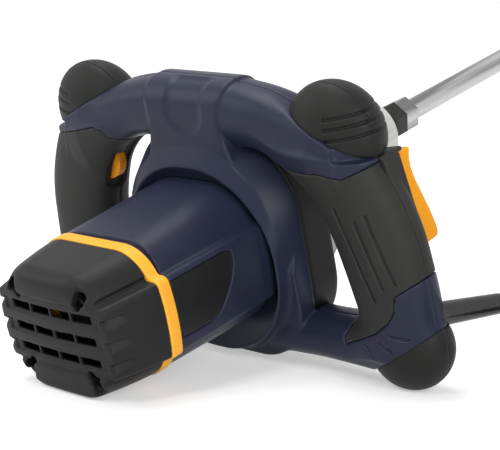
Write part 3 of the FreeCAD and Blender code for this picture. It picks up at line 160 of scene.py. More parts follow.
def surface(field, low, high, step):
    """Vertices in millimetres and quads of a field's zero surface, by dual cells pulled onto the surface."""
    axes = [np.arange(a, b + step, step, dtype=np.float32) for a, b in zip(low, high)]
    f = field(axes[0][:, None, None], axes[1][None, :, None], axes[2][None, None, :])
    f = np.ascontiguousarray(np.broadcast_to(f, tuple(len(a) for a in axes))).astype(np.float32)
    for axis in range(3):
        edge = [slice(None)] * 3
        for end in (0, -1):
            edge[axis] = end
            f[tuple(edge)] = maximum(f[tuple(edge)], step)
    solid = f < 0
    nx, ny, nz = (n - 1 for n in solid.shape)
    count = sum(solid[i:nx + i, j:ny + j, k:nz + k].astype(np.int8) for i, j, k in CORNERS)
    cells = np.argwhere((count > 0) & (count < len(CORNERS)))
    values = np.stack([f[cells[:, 0] + i, cells[:, 1] + j, cells[:, 2] + k] for i, j, k in CORNERS], 1)
    place, hits = np.zeros((len(cells), 3)), np.zeros(len(cells))
    for a, b in EDGES:
        va, vb = values[:, a], values[:, b]
        crossed = (va < 0) != (vb < 0)
        t = np.where(crossed, va / np.where(crossed, va - vb, 1), 0)
        point = np.array(CORNERS[a]) + (np.array(CORNERS[b]) - np.array(CORNERS[a])) * t[:, None]
        place += point * crossed[:, None]
        hits += crossed
    p = cells + place / hits[:, None]
    for _ in range(PULLS):
        value = sample(f, p)
        slope = np.stack([sample(f, p + d) - sample(f, p - d) for d in np.eye(3) * 0.5], 1)
        move = -slope * (value / maximum((slope ** 2).sum(1), LEAST_SLOPE))[:, None]
        length = np.linalg.norm(move, axis=1, keepdims=True)
        p = p + move * minimum(1, LONGEST_PULL / maximum(length, LEAST_SLOPE))
    number = -np.ones(count.shape, np.int64)
    number[tuple(cells.T)] = np.arange(len(cells))
    quads = []
    for axis in range(3):
        o1, o2 = [a for a in range(3) if a != axis]
        low_side, high_side = [slice(1, -1)] * 3, [slice(1, -1)] * 3
        low_side[axis], high_side[axis] = slice(0, -1), slice(1, None)
        sa, sb = solid[tuple(low_side)], solid[tuple(high_side)]
        at = np.argwhere(sa != sb)
        flip = sa[tuple(at.T)]
        at = at + np.array([0 if a == axis else 1 for a in range(3)])
        ring = []
        for d1, d2 in ((-1, -1), (0, -1), (0, 0), (-1, 0)):
            c = at.copy()
            c[:, o1] += d1
            c[:, o2] += d2
            ring.append(number[tuple(c.T)])
        quad = np.stack(ring, 1)
        if axis == 1:
            flip = ~flip
        quads.append(np.where(flip[:, None], quad, quad[:, ::-1]))
    corner = np.array([a[0] for a in axes])
    return corner + p * step, np.concatenate(quads)


def added(name, data):
    """A new object in the scene."""
    thing = bpy.data.objects.new(name, data)
    bpy.context.scene.collection.objects.link(thing)
    return thing


def field_piece(name, field, low, high, step, material, replaced, body="frame_body", place=placed):
    """A smooth mesh of a field within a box, which rides a body and stands for CAD nodes."""
    points, quads = surface(field, low, high, step)
    mesh = bpy.data.meshes.new(name)
    mesh.from_pydata(place(points).tolist(), [], quads.tolist())
    mesh.update()
    mesh.polygons.foreach_set("use_smooth", [True] * len(mesh.polygons))
    mesh.materials.append(material)
    piece = added(name, mesh)
    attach(piece, body)
    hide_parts(*replaced)


# Materials
BROAD_DETAIL, FINE_DETAIL = 5, 3
# Convex edges are made paler by Pointiness: partly rubbed wear, partly a painted highlight along the edges.
WEAR_AND_HIGHLIGHT_START, WEAR_AND_HIGHLIGHT_FULL, WEAR_AND_HIGHLIGHT_SHARE = 0.52, 0.6, 0.5
WEAR_AND_HIGHLIGHT_GAIN, WEAR_AND_HIGHLIGHT_LIFT = 1.7, 0.02
GLOSS_BELOW, GLOSS_ABOVE = 0.06, 0.08
GRAIN_DEPTH = 0.0003
MIX_A, MIX_B, MIX_RESULT = 6, 7, 2


def linear(r, g, b):
    """Scene colour of an sRGB colour given as 0 to 255."""
    def one(c):
        c = c / 255
        return c / 12.92 if c <= 0.04045 else ((c + 0.055) / 1.055) ** 2.4
    return (one(r), one(g), one(b), 1)


def set_inputs(node, values):
    for name, value in values.items():
        node.inputs[name].default_value = value


def moulded(name, colour, rough, grain, bump, spread=0.12, metallic=0.0, streak=None, patch=22,
            band=(0.3, 0.72), specular=0.2):
    """Grained material: uneven colour (on the plated steel, stretched streaks that are painted reflection
    lines), uneven gloss, fine surface grain, and paler convex edges that are partly rubbed wear and partly a
    painted highlight.
    """
    material = bpy.data.materials.new(name)
    material.use_nodes = True
    nodes, links = material.node_tree.nodes, material.node_tree.links
    shader = nodes["Principled BSDF"]
    set_inputs(shader, {"Metallic": metallic, "Specular IOR Level": specular})
    place = nodes.new("ShaderNodeTexCoord")
    mapping = nodes.new("ShaderNodeMapping")
    if streak:
        mapping.vector_type = "TEXTURE"
        tilt = (atan2(shaft[2], shaft[1]), 0, 0)
        set_inputs(mapping, {"Rotation": tilt, "Scale": [1 / s for s in streak]})
    links.new(place.outputs["Object"], mapping.inputs["Vector"])
    broad, fine = nodes.new("ShaderNodeTexNoise"), nodes.new("ShaderNodeTexNoise")
    for texture, scale, detail in ((broad, patch, BROAD_DETAIL), (fine, grain, FINE_DETAIL)):
        set_inputs(texture, {"Scale": scale, "Detail": detail})
        links.new(mapping.outputs["Vector"], texture.inputs["Vector"])
    ramp = nodes.new("ShaderNodeValToRGB")
    ramp.color_ramp.elements[0].position, ramp.color_ramp.elements[1].position = band
    ramp.color_ramp.elements[0].color = tuple(c * (1 - spread) for c in colour[:3]) + (1,)
    ramp.color_ramp.elements[1].color = tuple(min(c * (1 + spread), 1) for c in colour[:3]) + (1,)
    links.new(broad.outputs["Fac"], ramp.inputs["Fac"])
    edge = nodes.new("ShaderNodeNewGeometry")
    # Paler convex edges: partly rubbed wear, partly a painted highlight.
    wear_and_highlight = nodes.new("ShaderNodeMapRange")
    set_inputs(wear_and_highlight, {"From Min": WEAR_AND_HIGHLIGHT_START, "From Max": WEAR_AND_HIGHLIGHT_FULL, "To Max": WEAR_AND_HIGHLIGHT_SHARE})
    links.new(edge.outputs["Pointiness"], wear_and_highlight.inputs["Value"])
    mix = nodes.new("ShaderNodeMix")
    mix.data_type = "RGBA"
    mix.inputs[MIX_B].default_value = tuple(min(c * WEAR_AND_HIGHLIGHT_GAIN + WEAR_AND_HIGHLIGHT_LIFT, 1) for c in colour[:3]) + (1,)
    links.new(wear_and_highlight.outputs["Result"], mix.inputs["Factor"])
    links.new(ramp.outputs["Color"], mix.inputs[MIX_A])
    links.new(mix.outputs[MIX_RESULT], shader.inputs["Base Color"])
    gloss = nodes.new("ShaderNodeMapRange")
    set_inputs(gloss, {"To Min": rough - GLOSS_BELOW, "To Max": rough + GLOSS_ABOVE})
    links.new(broad.outputs["Fac"], gloss.inputs["Value"])
    links.new(gloss.outputs["Result"], shader.inputs["Roughness"])
    dent = nodes.new("ShaderNodeBump")
    set_inputs(dent, {"Strength": bump, "Distance": GRAIN_DEPTH})
    links.new(fine.outputs["Fac"], dent.inputs["Height"])
    links.new(dent.outputs["Normal"], shader.inputs["Normal"])
    return material


navy = moulded("navy_shell", linear(36, 39, 58), 0.36, 2600, 0.22, specular=0.17)
black = moulded("black_plastic", linear(29, 29, 29), 0.44, 2200, 0.3, specular=0.16)
label_black = moulded("label_black", linear(22, 22, 24), 0.38, 3000, 0.12)
rubber = moulded("soft_grip", linear(40, 40, 39), 0.58, 1800, 0.35)
bumper_rubber = moulded("bumper_rubber", linear(30, 30, 29), 0.5, 1800, 0.35, specular=0.16)
orange = moulded("orange_band", linear(255, 178, 56), 0.42, 2400, 0.2, spread=0.05)
trigger_orange = moulded("trigger_orange", linear(242, 158, 24), 0.38, 2400, 0.2, spread=0.05)
wheel_orange = moulded("wheel_orange", linear(248, 140, 14), 0.42, 2400, 0.2, spread=0.06)
cast = moulded("cast_case", linear(178, 178, 175), 0.42, 900, 0.35, spread=0.06, metallic=0.55)
steel = moulded("spindle_steel", linear(42, 40, 38), 0.36, 1500, 0.3, metallic=0.9, streak=(1, 0.15, 1))
# The long pale and dark streaks along the plated rod and pins are painted reflection lines.
plated = moulded("plated_steel", linear(160, 161, 160), 0.24, 1200, 0.2, spread=0.45, metallic=0.95,
                 streak=(1, 0.03, 1), patch=130, band=(0.42, 0.58))
bright = moulded("bright_steel", linear(185, 185, 186), 0.28, 1500, 0.2, spread=0.08, metallic=0.95)
# Screws are near black and almost matt as painted shade, so that the screw wells read dark.
screw_painted_shade = moulded("screw_painted_shade", linear(13, 13, 14), 0.55, 1500, 0.3, metallic=0.2, specular=0.1)
# This is copper darkened below its own colour as painted shade, so that the motor's inside reads dark through
# the cap's vents.
copper = moulded("copper", linear(120, 66, 40), 0.42, 1400, 0.4, spread=0.15, metallic=0.9,
                streak=(1, 0.2, 1))
laminated = moulded("laminated_iron", linear(70, 70, 72), 0.5, 1600, 0.5, spread=0.2, metallic=0.8,
                    streak=(0.2, 4, 0.2))
carbon = moulded("carbon", linear(34, 34, 34), 0.6, 1300, 0.4)
# Inner parts are near black and almost matt as painted shade, so that the motor's inside reads dark through
# the cap's vents.
inner_plastic = moulded("inner_plastic", linear(14, 14, 15), 0.6, 1800, 0.25, specular=0.08)
cord_rubber = moulded("cord_rubber", linear(22, 22, 23), 0.2, 1600, 0.12, specular=0.6)
plug_rubber = moulded("plug_rubber", linear(30, 30, 31), 0.42, 1900, 0.3)
tie_web = moulded("tie_web", linear(34, 34, 36), 0.7, 1500, 0.6)
seal_rubber = moulded("seal_rubber", linear(28, 28, 28), 0.5, 1600, 0.3)

node_materials = (
    (steel, ("spindle", "spindle_gear", "layshaft", "layshaft_gear", "armature_shaft")),
    (plated, ("mixing_rod", "plug_pins")),
    (cast, ("gear_case", "bearing_plate")),
    (seal_rubber, ("spindle_seal",)),
    (screw_painted_shade, ("handle_screws", "gear_case_screws", "terminal_screws")),
    (laminated, ("stator_core", "armature_core")),
    (copper, ("field_coils", "armature_windings", "commutator")),
    (carbon, ("carbon_brushes",)),
    (inner_plastic, ("brush_bracket", "brush_holders", "switch_body", "speed_control", "terminal_block")),
    (bright, ("trigger_spring", "rear_bearing", "front_motor_bearing", "layshaft_rear_bearing",
              "layshaft_front_bearing", "spindle_rear_bearing", "spindle_front_bearing")),
    (black, ("fan",)),
    (wheel_orange, ("speed_wheel",)))
for material, names in node_materials:
    for name in names:
        node = frame["nodes"][name]
        node.data.materials.clear()
        node.data.materials.append(material)

# Handle ring: stations of the limbs' middle lines and half heights or widths, for the right half
arm_at = [0, 34.7, 58.3, 78.8, 94.6, 107.2]
arm_z = spline(arm_at, [85.5, 85, 81.8, 76, 70.9, 66.2])
arm_h = spline(arm_at, [19.5, 19, 18.4, 18.2, 20, 21])
grip_z = [-50, -40, -28, -15, 0, 15, 30, 48, 63]
grip_x = spline(grip_z, [129.5, 131.4, 131.4, 129.7, 127, 123.9, 119, 110.5, 101.7])
grip_w = spline(grip_z, [25, 25.8, 25.5, 26.5, 27.5, 28.6, 29.6, 30.5, 30.8])
low_at = [42.5, 78.8, 104, 126]
low_z = spline(low_at, [-53.9, -53.35, -52.7, -50.6])
low_h = spline(low_at, [15.2, 13.8, 15.2, 18.9])
DEPTH = 19.5
LOW_DEPTH = DEPTH * 0.96
SECTION_POWER = 2.4
ARM_END, GRIP_TOP, GRIP_FOOT, LOW_START, LOW_END = 112, 66, -52, 38, 130
BEND, BEND_INSIDE, BEND_RUN = 6, 12, 15
DOME_BLEND, FOOT_BLEND, FLAT_EDGE, SEAT_INSET = 6, 8, 1.2, 3
UPPER_MID, UPPER_ALONG = (101.4, 80.84), (0.8994, -0.4372)
LOWER_MID, LOWER_ALONG = (135.5, -52.4), (0.835, 0.5502)
UPPER_SIZE, LOWER_SIZE = (32, 19.5, 26, 27), (28, 20, 22.5, 26)


def plane(x, z, mid, along, side):
    """Distance beyond a bumper's flat."""
    return side * (-(x - mid[0]) * along[1] + (z - mid[1]) * along[0])


def dome(x, y, z, mid, along, size, inset=0.0):
    """A bumper's dome: half length, depth behind, depth in front and height."""
    length, behind, before, height = size
    depth = np.where(y < 0, behind, before)
    return ellipsoid(x, y, z, mid, along, (length - inset, depth - inset, height - inset))


def limbs(x, y, z):
    """Right half of the ring's limbs as one flowing form; x is the distance from the middle."""
    arm = oval(z - arm_z(x), y, arm_h(x), DEPTH, SECTION_POWER)
    arm = maximum(arm, x - ARM_END)
    grip = oval(x - grip_x(z), y, grip_w(z), DEPTH, SECTION_POWER)
    grip = maximum(grip, maximum(z - GRIP_TOP, GRIP_FOOT - z))
    low = oval(z - low_z(x), y, low_h(x), LOW_DEPTH, SECTION_POWER)
    low = maximum(low, maximum(x - LOW_END, LOW_START - x))
    upper = dome(x, y, z, UPPER_MID, UPPER_ALONG, UPPER_SIZE, SEAT_INSET)
    lower = dome(x, y, z, LOWER_MID, LOWER_ALONG, LOWER_SIZE, SEAT_INSET)
    bend = BEND + BEND_INSIDE * clip((ARM_END - x) / BEND_RUN, 0, 1)
    form = smin(smin(arm, grip, bend), upper, DOME_BLEND)
    form = smin(form, smin(low, lower, DOME_BLEND), FOOT_BLEND)
    form = smax(form, plane(x, z, UPPER_MID, UPPER_ALONG, 1), FLAT_EDGE)
    return smax(form, plane(x, z, LOWER_MID, LOWER_ALONG, -1), FLAT_EDGE)


# Strap in the middle of the ring
neck_w = spline([43, 57.6, 73.1, 84.3, 94.6, 101, 107.3], [43.2, 36, 31.3, 29.9, 31, 32.4, 33.1])
NECK_DEPTH, NECK_CORNER, NECK_EDGE, NECK_FOOT = 20.5, 2.6, 1.5, 40
CROWN_Z, CROWN_H = 85, 21.2
CUP_X, CUP_Z, CUP_W, CUP_H, CUP_CORNER = 2, 102, 16.3, 27, 14.5
CUP_SLOPE, CUP_DEPTH, CUP_START, CUP_FADE = 0.5, 2.6, -3, 4


def neck(x, y, z):
    """Broad strap over the arm, crowned at the top and spreading down to the drum."""
    sides = rounded_rect(x, y, neck_w(z), NECK_DEPTH, NECK_CORNER)
    crown = oval(maximum(z - CROWN_Z, 0), y, CROWN_H, NECK_DEPTH, SECTION_POWER)
    return maximum(smax(sides, crown, NECK_EDGE), NECK_FOOT - z)


def neck_cup(x, y, z):
    """Depth of the U-shaped recess in the strap's back, with sloping walls."""
    cup = rounded_rect(x - CUP_X, z - CUP_Z, CUP_W, CUP_H, CUP_CORNER)
    return clip(-cup * CUP_SLOPE, 0, CUP_DEPTH) * clip((CUP_START - y) / CUP_FADE, 0, 1)


# Motor section, whose sizes shape the housing, the band, the end cap and the drum round it
HOUSING_TAIL, FLARE_RUN = -101.5, 79.5
BARREL_W, BARREL_H, BARREL_CORNER, BARREL_FLARE = 47, 39.8, 25, (3, 6, 12)
PANEL_W, PANEL_H, PANEL_CORNER, PANEL_CROWN, PANEL_FLARE, PANEL_BLEND = 52.3, 24, 3, 2.2, 1.5, 1.2


def panel_crown(z):
    return PANEL_CROWN * (1 - (z / PANEL_H) ** 2)


def housing_outline(x, y, z, grow=0.0):
    """Motor section: rounded barrel with wider, lower side panels, flaring towards the ring."""
    flare = clip((y - HOUSING_TAIL) / FLARE_RUN, 0, 1)
    barrel = rounded_rect(x, z, BARREL_W + BARREL_FLARE[0] * flare, BARREL_H + BARREL_FLARE[1] * flare,
                          BARREL_CORNER + BARREL_FLARE[2] * flare)
    panel = rounded_rect(x, z, PANEL_W + panel_crown(z) + PANEL_FLARE * flare, PANEL_H, PANEL_CORNER)
    return smin(barrel, panel, PANEL_BLEND) - grow


# Drum in the middle of the ring: stations along Y of its rim, from the motor side to the seam
DRUM_W, DRUM_H, DRUM_CORNER, DRUM_WALL = 68.5, 71, 50, 3.5
RIM_Y = [-26, -20.5, -3]
RIM_DROP, RIM_W, RIM_H = [5.5, 0.5, 0], [61.5, 63, DRUM_W], [61, 67.5, DRUM_H]
RIM_CORNER, RIM_EDGE = [58.5, 60, DRUM_CORNER], 0.8
HOLLOW_Y, SEAM_Y = -14, -3.2
COVE_DEPTH, COVE_LEAST = 6.5, 0.01
foot_w = spline([-80, -20, -5, 10, 25], [67.5, 67.5, 66.8, 64.3, 58])
FOOT_CORNER, FOOT_BACK, FOOT_TOP, FOOT_SLOPE, FOOT_EDGE = 40, -17, -8, (-0.8547, 0.519), 1.5


def drum_outline(x, z):
    return rounded_rect(x, z, DRUM_W, DRUM_H, DRUM_CORNER)


def drum_rear(x, y, z):
    """Round rim that swells into the squarer drum, coved towards the motor, with a squarer foot below."""
    drop, half_w, half_h, corner = (np.interp(y, RIM_Y, v) for v in (RIM_DROP, RIM_W, RIM_H, RIM_CORNER))
    cone = rounded_rect(x, z + drop, half_w, half_h, corner)
    hollow = maximum(cone + DRUM_WALL, HOLLOW_Y - y)
    inner = maximum(housing_outline(x, y, z), COVE_LEAST)
    outer = maximum(-rounded_rect(x, z + RIM_DROP[0], RIM_W[0], RIM_H[0], RIM_CORNER[0]), COVE_LEAST)
    cove = COVE_DEPTH * outer / (inner + outer)
    cone = smax(cone, cove + RIM_Y[0] - y, RIM_EDGE)
    foot = rounded_rect(x, z, foot_w(z), DRUM_H, FOOT_CORNER)
    slope = (y - FOOT_BACK) * FOOT_SLOPE[0] + (z - FOOT_TOP) * FOOT_SLOPE[1]
    foot = smax(foot, maximum(FOOT_BACK - y, slope), FOOT_EDGE)
    form = maximum(smin(cone, foot, FOOT_EDGE), y - SEAM_Y)
    return cut(form, hollow)


# Outlines of the soft covers by their distance from the middle, and what is set into the ring
COVER = [(52, 66), (72, 59.5), (103, 60.5), (117.5, 57.2), (133.5, 64.2), (170, 66), (170, 1.5), (158.5, -2),
         (150, -7), (143, -11.2), (141.8, -15), (141.3, -20.5), (136.5, -28.5), (125.6, -37), (113.3, -43.2),
         (101.5, -48.6), (99.2, -46), (101.5, -38.8), (90, -26), (60, -10), (52, 30)]
LEFT_COVER = [(52, 64), (60, 62.8), (67, 63.4), (71.8, 65.7), (74.5, 70.5), (81.7, 72.3), (106.7, 67.4),
              (132, 60.6), (170, 55)] + COVER[6:]
SLOTS = [((109.7, 38.6), (129.4, -15.8)), ((123.1, 32.4), (136, -7.1)), ((130.3, 36.4), (143.7, -3.3))]
SLOT_RADIUS, SLOT_DEPTH, SLOT_EDGE = 1.0, 1.7, 0.5
SLITS = [((117.5, -45), (123.5, -51.3)), ((128.5, -42), (136, -46)), ((136, -36.5), (147.5, -38))]
SLIT_RADIUS, SLIT_DEPTH, SLIT_EDGE = 0.8, 1.6, 0.4
SCREWS = ((66.2, 80), (90.6, 64.5), (83.5, -54.2), (130.8, -25.8))
SCREW_RADIUS, SCREW_FLOOR = 4.0, 11.8
LEAN = radians(11)
TRIGGER_X, TRIGGER_Z = 129.5, 33.0
TRIGGER_SLOT = (9.0, 28.6)
TRIGGER_FLOOR = 1
RIM_FLOOR, SIDE_TOP, END_TOP, LIP_EDGE, LIP_BLEND = 0.1, 14.8, 20, 1.2, 1.5
SIDE_SECTION, END_SECTION, END_UP = (11.8, 30.6, 3), (10, 1.5, 1.2), 30.3
WHEEL_X, WHEEL_Y, WHEEL_Z = -95.0, -3.0, 43.5
WHEEL_ROOM, WHEEL_HALF = 14.3, 3.6
FRAME_W, FRAME_H, FRAME_CORNER, FRAME_UP = 8.2, 20, 7, 1.5
FRAME_SLOPE, FRAME_DEPTH, FRAME_END = 1.6, 1.8, -108
EXIT = np.array([151, 13.5, -34])
HEADING, DIP = radians(62), radians(8)
EXIT_WAY = np.array([cos(HEADING) * cos(DIP), sin(HEADING) * cos(DIP), -sin(DIP)])
EXIT_RADIUS, EXIT_REACH = 7.6, 30


def lean(x, z):
    """Trigger's own cross and upright coordinates."""
    dx, dz = x - TRIGGER_X, z - TRIGGER_Z
    return dx * cos(LEAN) + dz * sin(LEAN), -dx * sin(LEAN) + dz * cos(LEAN)


def trigger_slot(x, y, z):
    u, v = lean(x, z)
    return maximum(maximum(np.abs(u) - TRIGGER_SLOT[0], np.abs(v) - TRIGGER_SLOT[1]), TRIGGER_FLOOR - y)


def trigger_rim(x, y, z):
    """Raised surround of the trigger's slot, with a taller end wall."""
    u, v = lean(x, z)
    side_span, end_span = (maximum(y - top, RIM_FLOOR - y) for top in (SIDE_TOP, END_TOP))
    side = smax(rounded_rect(u, v, *SIDE_SECTION), side_span, LIP_EDGE)
    end = smax(rounded_rect(u, v - END_UP, *END_SECTION), end_span, LIP_EDGE)
    return smin(side, end, LIP_BLEND)


def wheel_pocket(x, y, z):
    return maximum(radial(x - WHEEL_X, z - WHEEL_Z) - WHEEL_ROOM, np.abs(y - WHEEL_Y) - WHEEL_HALF)


def wheel_panel(x, y, z):
    """Depth of the shallow oblong recess round the wheel on the inner face of the left grip."""
    outline = rounded_rect(y - WHEEL_Y, z - WHEEL_Z + FRAME_UP, FRAME_W, FRAME_H, FRAME_CORNER)
    return clip(-outline * FRAME_SLOPE, 0, FRAME_DEPTH) * (x > FRAME_END)


def boot_hole(x, y, z):
    """The cord's way out, along the strain relief."""
    dx, dy, dz = x - EXIT[0], y - EXIT[1], z - EXIT[2]
    t = dx * EXIT_WAY[0] + dy * EXIT_WAY[1] + dz * EXIT_WAY[2]
    r = np.sqrt((dx - t * EXIT_WAY[0]) ** 2 + (dy - t * EXIT_WAY[1]) ** 2 + (dz - t * EXIT_WAY[2]) ** 2)
    return maximum(r - EXIT_RADIUS, np.abs(t) - EXIT_REACH)


def screw_wells(x, y, z):
    """Round wells of the ring's screws, open to the front."""
    nearest = reduce(minimum, (radial(np.abs(x) - cx, z - cz) for cx, cz in SCREWS))
    return maximum(nearest - SCREW_RADIUS, SCREW_FLOOR - y)


def grooves(x, z, lines, radius):
    """Outline of straight grooves with round ends."""
    best = None
    for (xa, za), (xb, zb) in lines:
        ex, ez = xb - xa, zb - za
        t = clip(((x - xa) * ex + (z - za) * ez) / (ex * ex + ez * ez), 0, 1)
        d = radial(x - xa - t * ex, z - za - t * ez) - radius
        best = d if best is None else minimum(best, d)
    return best


# Ring pieces: each is split at the parting plane into a rear and a front half
PARTING_GAP, SHELL_PARTING, COVER_PARTING = 0.06, 0.5, 1.0
NECK_BLEND, DRUM_BLEND = 2.0, 1.5
COVER_GAP, COVER_SEAT, COVER_PROUD, SEAT_EDGE = 0.15, 3.0, 1.5, 0.5
COVER_THICK, COVER_INNER_EDGE, COVER_EDGE = 2.8, 0.3, 0.9
DRUM_GAP, DRUM_ROOM, LIP_GAP = 0.3, 22.4, 0.1
HOUSING_NIP, HOUSING_ROOM = -0.6, -4
LIP_FOOT, TRIGGER_EDGE = 0.8, 0.6
BUMP_MID, BUMP_SIZE, BUMP_Y = (100.5, 75.7), (32.2, 19.7, 27, 32.5), 2.0
BUMP_SINK, BUMP_EDGE = 0.4, 0.8
DISH_X, DISH_Y, DISH_Z, DISH_BLEND = 113, 27, 83, 3
DISH_ALONG, DISH_SIZE = (0.96, 0.28), (27, 9.5, 13)
GROOVE_Z, GROOVE_RISE, GROOVE_X = (78.8, 85.3, 91.0), 0.13, 112
GROOVE_HALF, GROOVE_START, GROOVE_DEPTH, GROOVE_EDGE = 0.85, 107, 1.5, 0.5


def half(y, front):
    return (PARTING_GAP - y) if front else (y + PARTING_GAP)


def navy_half(front):
    """One half of the ring's hard shell, with the covers' seats and all that is cut into it."""
    def field(x, y, z):
        ax = np.abs(x)
        skin = limbs(ax, y, z)
        strap_form = neck(x, y, z)
        if not front:
            strap_form = strap_form + neck_cup(x, y, z)
        form = smin(skin, strap_form, NECK_BLEND)
        if not front:
            form = smin(form, drum_rear(x, y, z), DRUM_BLEND)
        edge = np.where(x < 0, polygon(ax, z, LEFT_COVER), polygon(ax, z, COVER))
        zone = maximum(edge - COVER_GAP, maximum(-(skin + COVER_SEAT), skin - COVER_PROUD))
        shell = smax(form, -zone, SEAT_EDGE)
        if front:
            shell = cut(shell, maximum(drum_outline(x, z) - DRUM_GAP, y - DRUM_ROOM))
            shell = cut(shell, minimum(trigger_slot(x, y, z), trigger_rim(x, y, z) - LIP_GAP))
            shell = cut(cut(shell, boot_hole(x, y, z)), screw_wells(x, y, z))
        else:
            slit = maximum(grooves(ax, z, SLITS, SLIT_RADIUS), -(form + SLIT_DEPTH))
            shell = smax(shell, -slit, SLIT_EDGE)
            shell = cut(shell, maximum(housing_outline(x, y, z, HOUSING_NIP), y - HOUSING_ROOM))
        shell = cut(shell, wheel_pocket(x, y, z))
        return smax(shell, half(y, front), SHELL_PARTING)
    return field


def cover_half(front, left):
    """One half of a soft grip cover: a skin of the limbs within the cover's outline."""
    def field(x, y, z):
        ax = np.abs(x)
        form = limbs(ax, y, z)
        if left:
            form = form + wheel_panel(x, y, z)
        skin = smax(form, -(form + COVER_THICK), COVER_INNER_EDGE)
        piece = smax(skin, polygon(ax, z, LEFT_COVER if left else COVER) + COVER_GAP, COVER_EDGE)
        if not left and not front:
            slot = maximum(grooves(ax, z, SLOTS, SLOT_RADIUS), -(form + SLOT_DEPTH))
            piece = smax(piece, -slot, SLOT_EDGE)
        if front:
            piece = cut(piece, screw_wells(x, y, z))
        if left:
            piece = cut(piece, wheel_pocket(x, y, z))
        elif front:
            piece = smin(piece, trigger_rim(x, y, z), LIP_FOOT)
            piece = smax(piece, -trigger_slot(x, y, z), TRIGGER_EDGE)
            piece = cut(piece, boot_hole(x, y, z))
        return smax(piece, half(y, front), COVER_PARTING)
    return field


def upper_bumper(ax, y, z):
    """Upper bumper's dome with its dished side and three grooves."""
    form = dome(ax, y - BUMP_Y, z, BUMP_MID, UPPER_ALONG, BUMP_SIZE)
    depth = np.where(y < 0, -y, y * UPPER_SIZE[1] / UPPER_SIZE[2])
    dish = ellipsoid(ax - DISH_X, depth - DISH_Y, z - DISH_Z, (0, 0), DISH_ALONG, DISH_SIZE)
    form = smax(form, -dish, DISH_BLEND)
    for at in GROOVE_Z:
        line = np.abs(z - at - GROOVE_RISE * (ax - GROOVE_X)) - GROOVE_HALF
        groove = maximum(maximum(line, GROOVE_START - ax), -(form + GROOVE_DEPTH))
        form = smax(form, -groove, GROOVE_EDGE)
    return form


def bumper_half(upper, front):
    """One half of a bumper, sunk a little into its flat."""
    mid, along, side = (UPPER_MID, UPPER_ALONG, 1) if upper else (LOWER_MID, LOWER_ALONG, -1)

    def field(x, y, z):
        ax = np.abs(x)
        form = upper_bumper(ax, y, z) if upper else dome(ax, y, z, mid, along, LOWER_SIZE)
        piece = smax(form, -BUMP_SINK - plane(ax, z, mid, along, side), BUMP_EDGE)
        if not upper and front:
            piece = cut(piece, boot_hole(x, y, z))
        return smax(piece, half(y, front), SHELL_PARTING)
    return field


# Boxes that hold the ring pieces, and the size of their mesh cells
REAR_Y, FRONT_Y = (-29, 1.5), (-1.5, 30)
RING_X, RING_LOW, RING_HIGH = 162, -82, 110
COVER_NEAR, COVER_LOW, COVER_HIGH = 48, -56, 76
UPPER_BOX, LOWER_BOX = ((64, 60), (140, 112)), ((106, -84), (RING_X, -30))
COARSE, MEDIUM, FINE, FINER = 1.0, 0.8, 0.7, 0.5

for front, tag in ((False, "rear"), (True, "front")):
    y_low, y_high = FRONT_Y if front else REAR_Y
    field_piece("ring_shell_" + tag, navy_half(front), (-RING_X, y_low, RING_LOW),
                (RING_X, y_high, RING_HIGH), COARSE, navy, ["handle_shell_" + tag])
    for left, side_name in ((False, "right"), (True, "left")):
        x_low, x_high = (-RING_X, -COVER_NEAR) if left else (COVER_NEAR, RING_X)
        field_piece("grip_cover_%s_%s" % (side_name, tag), cover_half(front, left), (x_low, y_low, COVER_LOW),
                    (x_high, y_high, COVER_HIGH), MEDIUM, rubber,
                    ["%s_grip_%s" % (side_name, tag)])
        for upper, level in ((True, "upper"), (False, "lower")):
            (x_low, z_low), (x_high, z_high) = UPPER_BOX if upper else LOWER_BOX
            if left:
                x_low, x_high = -x_high, -x_low
            field_piece("bumper_%s_%s_%s" % (level, side_name, tag), bumper_half(upper, front),
                        (x_low, y_low, z_low), (x_high, y_high, z_high), MEDIUM, bumper_rubber,
                        ["%s_%s_bumper_%s" % (level, side_name, tag)])

# Drum cover on the rod's side of the ring
DRUM_FRONT, DRUM_FRONT_EDGE, DRUM_REAR_EDGE = 22, 4, 0.5
NOSE_Z, NOSE_RADIUS, NOSE_EDGE = 3, 53.4, 0.6


def drum_front(x, y, z):
    """Cup with a round hole for the gear case, cut clear of the limbs."""
    form = smax(smax(drum_outline(x, z), y - DRUM_FRONT, DRUM_FRONT_EDGE), RIM_Y[-1] - y, DRUM_REAR_EDGE)
    inside = rounded_rect(x, z, DRUM_W - DRUM_WALL, DRUM_H - DRUM_WALL, DRUM_CORNER - DRUM_WALL)
    hollow = maximum(inside, y - (DRUM_FRONT - DRUM_WALL))
    hole = radial(x, z - NOSE_Z) - NOSE_RADIUS
    form = smax(cut(form, hollow), -hole, NOSE_EDGE)
    joined = minimum(limbs(np.abs(x), y, z), neck(x, y, z)) - DRUM_GAP
    return cut(form, maximum(joined, y - PARTING_GAP))


field_piece("drum_front_cover", drum_front, (-71, -5, -73), (71, 24, 73), COARSE, black,
            ["drum_cover"])

